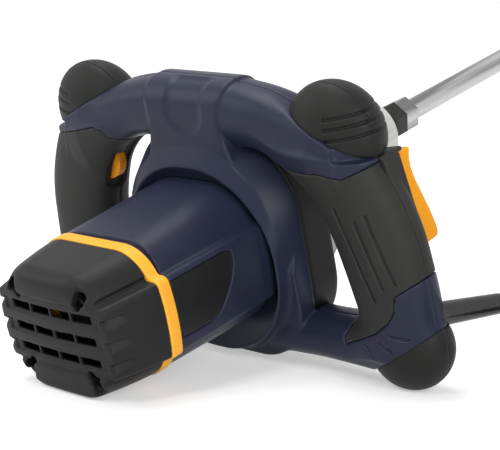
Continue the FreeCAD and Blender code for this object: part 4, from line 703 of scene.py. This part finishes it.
# Motor housing with its label panels, and the trim band
LABEL = [(-101, 20.5), (-56, 20.5), (-52, 19), (-51, 16), (-52.3, 10), (-56, 3), (-60, -3), (-65, -9),
         (-70, -13.5), (-76, -15.5), (-101, -15)]
SHELL_START, SHELL_END, SHELL_WALL, SHELL_INNER_EDGE, SHELL_EDGE = -101.4, -17, 4.2, 0.5, 0.6
CRESCENT_X, CRESCENT_HALF, CRESCENT_LOW = 10, 36, 20
CRESCENT_DEPTH, CRESCENT_REACH, CRESCENT_RUN = 2.8, 5.0, 1.2
TRAY_GAP, TRAY_NEAR, TRAY_DEPTH, TRAY_EDGE = 0.25, 49.5, 1.6, 0.3
PLATE_SINK, PLATE_BACK, PLATE_INNER_EDGE = 0.35, 1.5, 0.2
PLATE_NEAR, PLATE_GAP, PLATE_EDGE = 49.0, 0.15, 0.5
BAND_PROUD, BAND_REAR, BAND_FRONT, BAND_EDGE, BAND_WALL = 0.8, -109.9, -101.6, 0.9, 3.2


def housing(x, y, z):
    """Shell with the label's trays in its sides and a crescent cut beside the band on top."""
    whole = housing_outline(x, y, z)
    reach = clip(1 - ((x - CRESCENT_X) / CRESCENT_HALF) ** 2, 0, 1) * (z > CRESCENT_LOW)
    fall = clip((SHELL_START + CRESCENT_REACH * np.sqrt(reach) - y) / CRESCENT_RUN, 0, 1)
    form = whole + CRESCENT_DEPTH * fall
    tray = maximum(polygon(y, z, LABEL) - TRAY_GAP, TRAY_NEAR - np.abs(x))
    form = smax(form, -maximum(tray, -(whole + TRAY_DEPTH)), TRAY_EDGE)
    form = smax(form, -(whole + SHELL_WALL), SHELL_INNER_EDGE)
    return smax(form, maximum(SHELL_START - y, y - SHELL_END), SHELL_EDGE)


def label_plate(x, y, z):
    """Thin bare plate in the right tray."""
    form = housing_outline(x, y, z)
    plate = smax(form + PLATE_SINK, -(form + PLATE_BACK), PLATE_INNER_EDGE)
    return smax(maximum(plate, PLATE_NEAR - x), polygon(y, z, LABEL) + PLATE_GAP, PLATE_EDGE)


def band(x, y, z):
    form = housing_outline(x, y, z, BAND_PROUD)
    form = smax(form, maximum(BAND_REAR - y, y - BAND_FRONT), BAND_EDGE)
    return cut(form, housing_outline(x, y, z) + BAND_WALL)


# End cap with its grille, side scoops and screw wells
CAP_START, CAP_LENGTH, TAIL_Y = -110, 41, -151.0
CAP_EASE_SHARES = (0.55, 0.45)
BARREL_TAPER, PANEL_TAPER, CAP_PANEL_BLEND = (8.5, 3.2, 3), (9.5, 2), 0.8
CREASE_Z, CREASE_FALL, CREASE_WIDTH, CREASE_DEPTH, CREASE_X, CREASE_RUN = 25, 2, 1.3, 1.7, 35, 3
END_CROWN_X, END_SPAN_X, END_CROWN_Z, END_SPAN_Z = 2.5, 45, 1.2, 36
END_EDGE, TOP_EDGE, TOP_START, TOP_RUN = 2.4, 8, 22, 6
ROWS, COLUMNS, COLUMN_PITCH = (-13.5, 0.0, 13.5), (-1.5, -0.5, 0.5, 1.5), 17.3
SCOOP_BELOW, SCOOP_RISE, SCOOP_ABOVE, SCOOP_LIP = 3.8, 5.4, 2.4, 0.8
SCOOP_LENGTH, SCOOP_DEPTH, SCOOP_X, SCOOP_RUN = 17, 3.0, 37, 3
FACE_HALF, FACE_DEPTH, FACE_EDGE = 22.5, 1.6, 0.8
CHANNEL_HALF, CHANNEL_DEPTH, CHANNEL_END, CHANNEL_EDGE = 3.7, 2.8, 39.5, 0.6
VENT_W, VENT_H, VENT_DEPTH = 7.9, 2.5, 9
WELL_X, WELL_Z, WELL_RADIUS, WELL_DEPTH, WELL_EDGE = 29, 26, 4.3, 17, 0.6
NOTCH_WAY, NOTCH_LENGTH, NOTCH_RADIUS, NOTCH_DEPTH = (0.62, 0.78), 6, 2.6, 7.5
MOUTH_WAY, MOUTH_LENGTH, MOUTH_RADIUS, MOUTH_DEPTH = (0.2, 0.98), 20, 4.0, 5.5
CAP_SIDE_WALL, CAP_END_WALL, BOSS_RADIUS, SCREW_HOLE = 4.2, 5.2, 6.2, 2.6
HEAD_RADIUS, HEAD_TOP, HEAD_EDGE = 4.0, 13.5, 0.8
CROSS_HALF, CROSS_REACH, CROSS_FLOOR = 0.6, 2.4, 15
SHANK_RADIUS, SHANK_START, SHANK_END = 2.5, 16, 61


def cap_side(x, y, z):
    """Tapering side of the cap, creased above and below its side panels."""
    t = clip((CAP_START - y) / CAP_LENGTH, 0, 1)
    ease = t * (CAP_EASE_SHARES[0] + CAP_EASE_SHARES[1] * t)
    barrel = rounded_rect(x, z, BARREL_W - BARREL_TAPER[0] * ease, BARREL_H - BARREL_TAPER[1] * ease,
                          BARREL_CORNER - BARREL_TAPER[2] * ease)
    panel = rounded_rect(x, z, PANEL_W + panel_crown(z) - PANEL_TAPER[0] * ease,
                         PANEL_H - PANEL_TAPER[1] * ease, PANEL_CORNER)
    crease = np.exp(-((np.abs(z) - CREASE_Z + CREASE_FALL * ease) / CREASE_WIDTH) ** 2)
    crease = crease * clip((np.abs(x) - CREASE_X) / CREASE_RUN, 0, 1)
    return smin(barrel, panel, CAP_PANEL_BLEND) + CREASE_DEPTH * crease


def cap_wells(sx, sz, depth):
    """Teardrop wells of the cap's screws, open to the outer edge; sx and sz start at the screw."""
    hole = maximum(radial(sx, sz) - WELL_RADIUS, depth - WELL_DEPTH)
    inward = clip(-(sx * NOTCH_WAY[0] + sz * NOTCH_WAY[1]), 0, NOTCH_LENGTH)
    notch = radial(sx + NOTCH_WAY[0] * inward, sz + NOTCH_WAY[1] * inward) - NOTCH_RADIUS
    outward = clip(sx * MOUTH_WAY[0] + sz * MOUTH_WAY[1], 0, MOUTH_LENGTH)
    mouth = radial(sx - MOUTH_WAY[0] * outward, sz - MOUTH_WAY[1] * outward) - MOUTH_RADIUS
    cuts = minimum(hole, maximum(notch, depth - NOTCH_DEPTH))
    return minimum(cuts, maximum(mouth, depth - MOUTH_DEPTH))


def cap(x, y, z):
    ax, depth = np.abs(x), y - TAIL_Y
    side = cap_side(x, y, z)
    end = END_CROWN_X * (x / END_SPAN_X) ** 2 + END_CROWN_Z * (z / END_SPAN_Z) ** 2 - depth
    outer = smax(side, end, END_EDGE + TOP_EDGE * clip((z - TOP_START) / TOP_RUN, 0, 1))
    for row in ROWS:
        drop = z - row
        scoop = clip((drop + SCOOP_BELOW) / SCOOP_RISE, 0, 1)
        scoop = scoop * clip((SCOOP_ABOVE - drop) / SCOOP_LIP, 0, 1)
        run = clip(1 - (depth / SCOOP_LENGTH) ** 2, 0, 1)
        outer = outer + SCOOP_DEPTH * scoop * np.sqrt(run) * clip((ax - SCOOP_X) / SCOOP_RUN, 0, 1)
    form = maximum(outer, y - CAP_START)
    form = smax(form, -maximum(np.abs(z) - FACE_HALF, -(end + FACE_DEPTH)), FACE_EDGE)
    for row in ROWS:
        channel = maximum(np.abs(z - row) - CHANNEL_HALF, -(end + CHANNEL_DEPTH))
        form = smax(form, -maximum(channel, ax - CHANNEL_END), CHANNEL_EDGE)
        for column in COLUMNS:
            vent = maximum(np.abs(x - column * COLUMN_PITCH) - VENT_W, np.abs(z - row) - VENT_H)
            form = cut(form, maximum(vent, depth - VENT_DEPTH))
    sx, sz = ax - WELL_X, np.abs(z) - WELL_Z
    form = smax(form, -cap_wells(sx, sz, depth), WELL_EDGE)
    well = radial(sx, sz)
    inside = maximum(maximum(side + CAP_SIDE_WALL, end + CAP_END_WALL), BOSS_RADIUS - well)
    return maximum(cut(form, inside), SCREW_HOLE - well)


def cap_screws(x, y, z):
    """Cross-head screws at the bottom of the cap's corner wells."""
    sx, sz, depth = np.abs(np.abs(x) - WELL_X), np.abs(np.abs(z) - WELL_Z), y - TAIL_Y
    r = radial(sx, sz)
    head = smax(r - HEAD_RADIUS, maximum(HEAD_TOP - depth, depth - WELL_DEPTH), HEAD_EDGE)
    cross = maximum(maximum(sx, sz) - CROSS_REACH, depth - CROSS_FLOOR)
    cross = maximum(minimum(sx, sz) - CROSS_HALF, cross)
    shank = maximum(r - SHANK_RADIUS, maximum(SHANK_START - depth, depth - SHANK_END))
    return minimum(cut(head, cross), shank)


field_piece("motor_shell", housing, (-60, -103, -49), (60, -20, 49), MEDIUM, navy,
            ["motor_housing"])
field_piece("label_plate_right", label_plate, (47, -103, -23), (60, -40, 23), FINER, label_black,
            ["side_panel_right"])
field_piece("label_plate_left", lambda x, y, z: label_plate(-x, y, z), (-60, -103, -23), (-47, -40, 23),
            FINER, label_black, ["side_panel_left"])
field_piece("orange_trim_band", band, (-58, -112, -43), (58, -100, 43), FINE, orange,
            ["trim_band"])
field_piece("vented_end_cap", cap, (-58, -153, -43), (58, -108.5, 43), FINE, black,
            ["rear_cap"])
field_piece("cap_screw_set", cap_screws, (-35, -139, -32), (35, -88, 32), FINER, screw_painted_shade,
            ["rear_cap_screws"])

# Trigger, with its side view in Y and its own upright
TRIGGER_SIDE = [(9, 28), (24, 28), (28.0, 28.6), (27.8, 26.5), (25.8, 22.5), (24.8, 17), (25.3, 10),
                (27.5, 0), (30, -11), (31.3, -20), (31.4, -24.5), (30, -27.4), (26, -28), (9, -28)]
TRIGGER_HALF, TRIGGER_CORNER, TRIGGER_ROUND = 7.7, 2.2, 0.8


def trigger(x, y, z):
    u, v = lean(x, z)
    side = polygon(y, v, TRIGGER_SIDE) + TRIGGER_ROUND
    return smax(side, np.abs(u) - TRIGGER_HALF, TRIGGER_CORNER) - TRIGGER_ROUND


field_piece("finger_trigger", trigger, (108, 7, 0), (150, 36, 66), FINE, trigger_orange,
            ["trigger"], "trigger_body")

# Cord, with its own sizes in metres: a lead, a route in the scene's millimetres and two layers of coil
cord_diameter, cord_length, cord_lead = 0.0084, 2.05, 0.026
sleeve_tip = 46.3
route = [(198.0, 11.0, 59.0), (214.0, 38.0, 45.0), (240.0, 59.0, 26.0), (273.0, 65.0, 11.0),
         (304.0, 51.0, 5.9), (320.0, 24.0, 5.9)]
exit_way = turn @ EXIT_WAY
start = placed([EXIT + EXIT_WAY * sleeve_tip])[0]
points = [start, start + exit_way * cord_lead] + [np.array(p) * MM for p in route]
layers, per_layer, pitch, mean_radius, steps, climb = 2, 3, 9.2, 48.0, 16, 0.5
first_step = 1e-4


def coil_point(t):
    """Point of the coil after t turns: it spirals in, climbs a layer and spirals out."""
    layer = 0 if t <= per_layer else 1
    part = t / per_layer - layer
    inward = part if layer == 0 else 1 - part
    radius = mean_radius + pitch * per_layer * (0.5 - inward)
    rise = max(0.0, min(1.0, (t - per_layer) / climb + 0.5))
    lift = pitch * rise * rise * (3 - 2 * rise)
    return np.array([radius * cos(-2 * pi * t), radius * sin(-2 * pi * t), lift])


def level(way):
    """The level direction of a step along the cord."""
    return np.array([way[0], way[1], 0]) / np.hypot(way[0], way[1])


last = level(points[-1] - points[-2])
first = coil_point(first_step) - coil_point(0)
swing = atan2(last[1], last[0]) - atan2(first[1], first[0])
spin = np.array([[cos(swing), -sin(swing), 0], [sin(swing), cos(swing), 0], [0, 0, 1]])
centre = points[-1] + last * cord_diameter - spin @ coil_point(0) * MM
swell = 2 / (1 + cos(pi / steps))
for i in range(layers * per_layer * steps + 1):
    p = coil_point(i / steps)
    p[:2] *= swell
    points.append(centre + spin @ p * MM)
out = level(points[-1] - points[-2])
coil_end = points[-1]
points.append(coil_end + out * cord_diameter)

curve = bpy.data.curves.new("mains_cord", "CURVE")
curve.dimensions = "3D"
curve.bevel_depth = cord_diameter / 2
curve.bevel_resolution = 6
curve.resolution_u = 6
line = curve.splines.new("NURBS")
line.points.add(len(points) - 1)
for target, p in zip(line.points, points):
    target.co = (p[0], p[1], p[2], 1)
line.order_u = 3
line.use_endpoint_u = True
curve.materials.append(cord_rubber)
cord = added("mains_cord", curve)
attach(cord, "frame_body")
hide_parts("power_cord", "cord_coil")

# Strain relief, tie and plug
CORD_HOLE = 4.25
SLEEVE_FOOT, SLEEVE_TAPER, SLEEVE_LENGTH, SLEEVE_ROOT, SLEEVE_EDGE, SLEEVE_SOCKET = 7.2, 1.5, 52, -8, 1.4, 46
RELIEF_Z, RELIEF_RADIUS, RELIEF_OUT, RELIEF_EDGE = (38, 42, 46), 1.0, 0.3, 0.5
FLANGE_RADIUS, FLANGE_Z, FLANGE_HALF = 8.6, -6.8, 1.2
STRAP_Z, STRAP_SECTION, STRAP_THICK, STRAP_HALF = 4.6, (15.6, 10.0, 4.5), 1.2, 6
STRAP_INNER_EDGE, STRAP_EDGE, LAP_BLEND = 0.3, 0.5, 0.4
LAP_OUT, LAP_HALF, LAP_X, LAP_SECTION = 0.55, 0.6, 1, (11, 5.4, 3)
WEAVE_DEPTH, WEAVE_WAVE = 0.14, 3.2
STITCH_Y, STITCH_HALF, STITCH_PITCH, STITCH_REACH, STITCH_HEIGHT, STITCH_LOW = 4.2, 0.25, 3.0, 1.0, 0.25, 9
plug_at = [36, 44, 54, 64, 74, 80, 84]
plug_w = spline(plug_at, [8, 13, 14.2, 14.6, 17.2, 17.9, 17.9])
plug_h = spline(plug_at, [7.5, 11, 11.8, 12.2, 13.9, 14.4, 14.4])
PLUG_CORNER, PLUG_START, PLUG_FACE, PLUG_EDGE, PLUG_BLEND = 8, 38, 82, 2.2, 3
RIDGE_X, RIDGE_HALF, RIDGE_DEPTH, RIDGE_EDGE = (50, 55, 60, 65), 0.9, 1.0, 0.6
TAIL_TIP, TAIL_SWELL, TAIL_RUN, TAIL_END = 4.9, 2.3, 40, 42
NICK_X, NICK_HALF, NICK_FLOOR, NICK_TAPER, NICK_EDGE = (6, 12, 18, 24, 30), 1.1, 4.6, 0.04, 0.4
PIN_Y, PIN_RADIUS, PIN_ROOT, PLUG_SOCKET = 9.5, 2.5, 70, 9


def laid(origin, heading_angle):
    """Places millimetres from a level frame on the floor into the scene."""
    c, s = cos(heading_angle), sin(heading_angle)
    axes = np.array([[c, -s, 0], [s, c, 0], [0, 0, 1]])
    return lambda points_mm: np.asarray(points_mm) @ axes.T * MM + np.asarray(origin)


def sleeve(x, y, z):
    """Strain relief along Z: flange, long taper and relief rings near the tip."""
    r = radial(x, y)
    radius = SLEEVE_FOOT - SLEEVE_TAPER * clip(z / SLEEVE_LENGTH, 0, 1)
    form = r - radius
    for at in RELIEF_Z:
        ring = radial(r - radius - RELIEF_OUT, z - at)
        form = smax(form, RELIEF_RADIUS - ring, RELIEF_EDGE)
    form = smax(form, maximum(z - SLEEVE_LENGTH, SLEEVE_ROOT - z), SLEEVE_EDGE)
    form = minimum(form, maximum(r - FLANGE_RADIUS, np.abs(z - FLANGE_Z) - FLANGE_HALF))
    return cut(form, maximum(r - CORD_HOLE, SLEEVE_SOCKET - z))


side_way = np.cross(exit_way, (0, 0, 1))
side_way = side_way / np.linalg.norm(side_way)
sleeve_axes = np.stack([side_way, np.cross(exit_way, side_way), exit_way], 1)
field_piece("cord_sleeve", sleeve, (-10, -10, -10), (10, 10, 54), FINER, cord_rubber,
            ["cord_boot"], place=lambda q: np.asarray(q) @ sleeve_axes.T * MM + placed([EXIT])[0])


def strap(x, y, z):
    """Strap round the coil's bundle, with its free end lapped over the top and two sewn rows."""
    loop = rounded_rect(x, z - STRAP_Z, *STRAP_SECTION)
    skin = smax(loop, -(loop + STRAP_THICK), STRAP_INNER_EDGE)
    lap = maximum(np.abs(loop - LAP_OUT) - LAP_HALF, -z)
    lap = maximum(lap, rounded_rect(x - LAP_X, y, *LAP_SECTION))
    form = smin(smax(skin, np.abs(y) - STRAP_HALF, STRAP_EDGE), lap, LAP_BLEND)
    weave = WEAVE_DEPTH * np.cos(x * WEAVE_WAVE) * np.cos(z * WEAVE_WAVE)
    half_pitch = STITCH_PITCH / 2
    along = np.abs(((x + half_pitch) % STITCH_PITCH) - half_pitch) - STITCH_REACH
    stitch = maximum(np.abs(np.abs(y) - STITCH_Y) - STITCH_HALF, along)
    return form + weave - STITCH_HEIGHT * (stitch < 0) * (z > STITCH_LOW)


STRAP_STEP, PLUG_STEP = 0.4, 0.6
field_piece("cord_strap", strap, (-18, -7.5, -7), (18, 7.5, 17), STRAP_STEP, tie_web,
            ["coil_tie"], place=laid(centre - spin @ np.array([mean_radius, 0, 0]) * MM, swing + pi))


def plug(x, y, z):
    """Two-pin plug along X: ribbed neck, waisted grip with finger ridges, and a broad front."""
    body = rounded_rect(y, z, plug_w(x), plug_h(x), PLUG_CORNER)
    body = smax(body, maximum(x - PLUG_FACE, PLUG_START - x), PLUG_EDGE)
    for at in RIDGE_X:
        body = smax(body, -maximum(np.abs(x - at) - RIDGE_HALF, -(body + RIDGE_DEPTH)), RIDGE_EDGE)
    r = radial(y, z)
    neck_radius = TAIL_TIP + TAIL_SWELL * clip(x / TAIL_RUN, 0, 1)
    tail = maximum(r - neck_radius, maximum(-x, x - TAIL_END))
    for at in NICK_X:
        gap = np.abs(x - at) - NICK_HALF
        tail = smax(tail, -maximum(gap, NICK_FLOOR + NICK_TAPER * at - r), NICK_EDGE)
    form = smin(body, tail, PLUG_BLEND)
    pins = radial(np.abs(y) - PIN_Y, z) - PIN_RADIUS
    form = cut(form, maximum(pins, PIN_ROOT - x))
    return cut(form, maximum(r - CORD_HOLE, x - PLUG_SOCKET))


field_piece("plug_grip", plug, (-1, -19, -16), (84, 19, 16), PLUG_STEP, plug_rubber,
            ["plug_body"], place=laid(coil_end, atan2(out[1], out[0])))

# Stage, light and camera
scene = bpy.context.scene
scene.view_settings.view_transform = "Standard"
FLOOR_HALF = 6.0
FLOOR_COLOUR, FLOOR_ROUGH = (0.85, 0.85, 0.85, 1), 0.8
GLOW_NEAR, GLOW_FAR, GLOW_LEAST, GLOW_MOST = 0.3, 1.1, 0.4, 0.78
WHITE, SOFT_STRENGTH, SEEN_STRENGTH = (1, 1, 1, 1), 0.28, 1.0


def seen_mix(tree, lit, shown, output):
    """Lets the camera, gloss and glass see one shader where everything else gets the other."""
    path = tree.nodes.new("ShaderNodeLightPath")
    seen = path.outputs["Is Camera Ray"]
    for ray in ("Is Glossy Ray", "Is Transmission Ray"):
        either = tree.nodes.new("ShaderNodeMath")
        either.operation = "MAXIMUM"
        tree.links.new(seen, either.inputs[0])
        tree.links.new(path.outputs[ray], either.inputs[1])
        seen = either.outputs[0]
    mix = tree.nodes.new("ShaderNodeMixShader")
    tree.links.new(seen, mix.inputs["Fac"])
    tree.links.new(lit, mix.inputs[1])
    tree.links.new(shown, mix.inputs[2])
    tree.links.new(mix.outputs["Shader"], output.inputs["Surface"])


floor_mesh = bpy.data.meshes.new("floor")
floor_corners = [(FLOOR_HALF * x, FLOOR_HALF * y, 0) for x, y in ((-1, -1), (1, -1), (1, 1), (-1, 1))]
floor_mesh.from_pydata(floor_corners, [], [(0, 1, 2, 3)])
floor = added("floor", floor_mesh)
floor_material = bpy.data.materials.new("pale_floor")
floor_material.use_nodes = True
floor_tree = floor_material.node_tree
floor_shader = floor_tree.nodes["Principled BSDF"]
set_inputs(floor_shader, {"Base Color": FLOOR_COLOUR, "Roughness": FLOOR_ROUGH})
glow = floor_tree.nodes.new("ShaderNodeEmission")
away = floor_tree.nodes.new("ShaderNodeTexCoord")
distance = floor_tree.nodes.new("ShaderNodeVectorMath")
distance.operation = "LENGTH"
fade = floor_tree.nodes.new("ShaderNodeMapRange")
set_inputs(fade, {"From Min": GLOW_NEAR, "From Max": GLOW_FAR, "To Min": GLOW_LEAST, "To Max": GLOW_MOST})
floor_tree.links.new(away.outputs["Object"], distance.inputs[0])
floor_tree.links.new(distance.outputs["Value"], fade.inputs["Value"])
floor_tree.links.new(fade.outputs["Result"], glow.inputs["Strength"])
lifted = floor_tree.nodes.new("ShaderNodeAddShader")
floor_tree.links.new(floor_shader.outputs["BSDF"], lifted.inputs[0])
floor_tree.links.new(glow.outputs["Emission"], lifted.inputs[1])
seen_mix(floor_tree, floor_shader.outputs["BSDF"], lifted.outputs["Shader"],
         floor_tree.nodes["Material Output"])
floor_mesh.materials.append(floor_material)

world = bpy.data.worlds.new("studio")
world.use_nodes = True
scene.world = world
world_tree = world.node_tree
soft = world_tree.nodes["Background"]
white = world_tree.nodes.new("ShaderNodeBackground")
set_inputs(soft, {"Color": WHITE, "Strength": SOFT_STRENGTH})
set_inputs(white, {"Color": WHITE, "Strength": SEEN_STRENGTH})
seen_mix(world_tree, soft.outputs["Background"], white.outputs["Background"],
         world_tree.nodes["World Output"])


def lamp(name, place, target, width, power):
    """Rectangular lamp in metres and watts, turned towards its target."""
    data = bpy.data.lights.new(name, "AREA")
    data.shape = "RECTANGLE"
    data.size, data.size_y = width
    data.energy = power
    lamp_object = added(name, data)
    lamp_object.location = place
    lamp_object.rotation_euler = (Vector(target) - Vector(place)).to_track_quat("-Z", "Y").to_euler()


lamp("overhead", place=(-0.25, -0.15, 1.25), target=(0, -0.05, 0.1), width=(0.8, 0.6), power=8)
lamp("left_side", place=(-0.9, -0.9, 0.7), target=(0, -0.1, 0.1), width=(0.5, 0.8), power=4)
lamp("rear", place=(0.12, -1.35, 1.0), target=(0, -0.1, 0.1), width=(0.35, 0.35), power=6)
lamp("right_side", place=(1.05, -0.55, 0.5), target=(0.05, -0.08, 0.1), width=(0.35, 0.7), power=7)

# The camera's place and directions are in the tool's axes, its focal length in pixels of the photograph
CAMERA_PLACE = (666.8, -631.2, 357.1)
CAMERA_RIGHT, CAMERA_DOWN = (0.7342, 0.6572, -0.1704), (0.1249, -0.3774, -0.9176)
CAMERA_FORWARD = (-0.6673, 0.6524, -0.3592)
FOCAL_PIXELS, PHOTO_WIDTH, SENSOR_WIDTH = 1564.66, 500, 36

camera_data = bpy.data.cameras.new("camera")
camera = added("camera", camera_data)
right, down, forward = (turn @ np.array(v) for v in (CAMERA_RIGHT, CAMERA_DOWN, CAMERA_FORWARD))
spot = placed([CAMERA_PLACE])[0]
camera.matrix_world = Matrix([[right[i], -down[i], -forward[i], spot[i]] for i in range(3)] + [[0, 0, 0, 1]])
camera_data.sensor_width = SENSOR_WIDTH
camera_data.sensor_fit = "HORIZONTAL"
camera_data.lens = FOCAL_PIXELS * SENSOR_WIDTH / PHOTO_WIDTH
scene.camera = camera
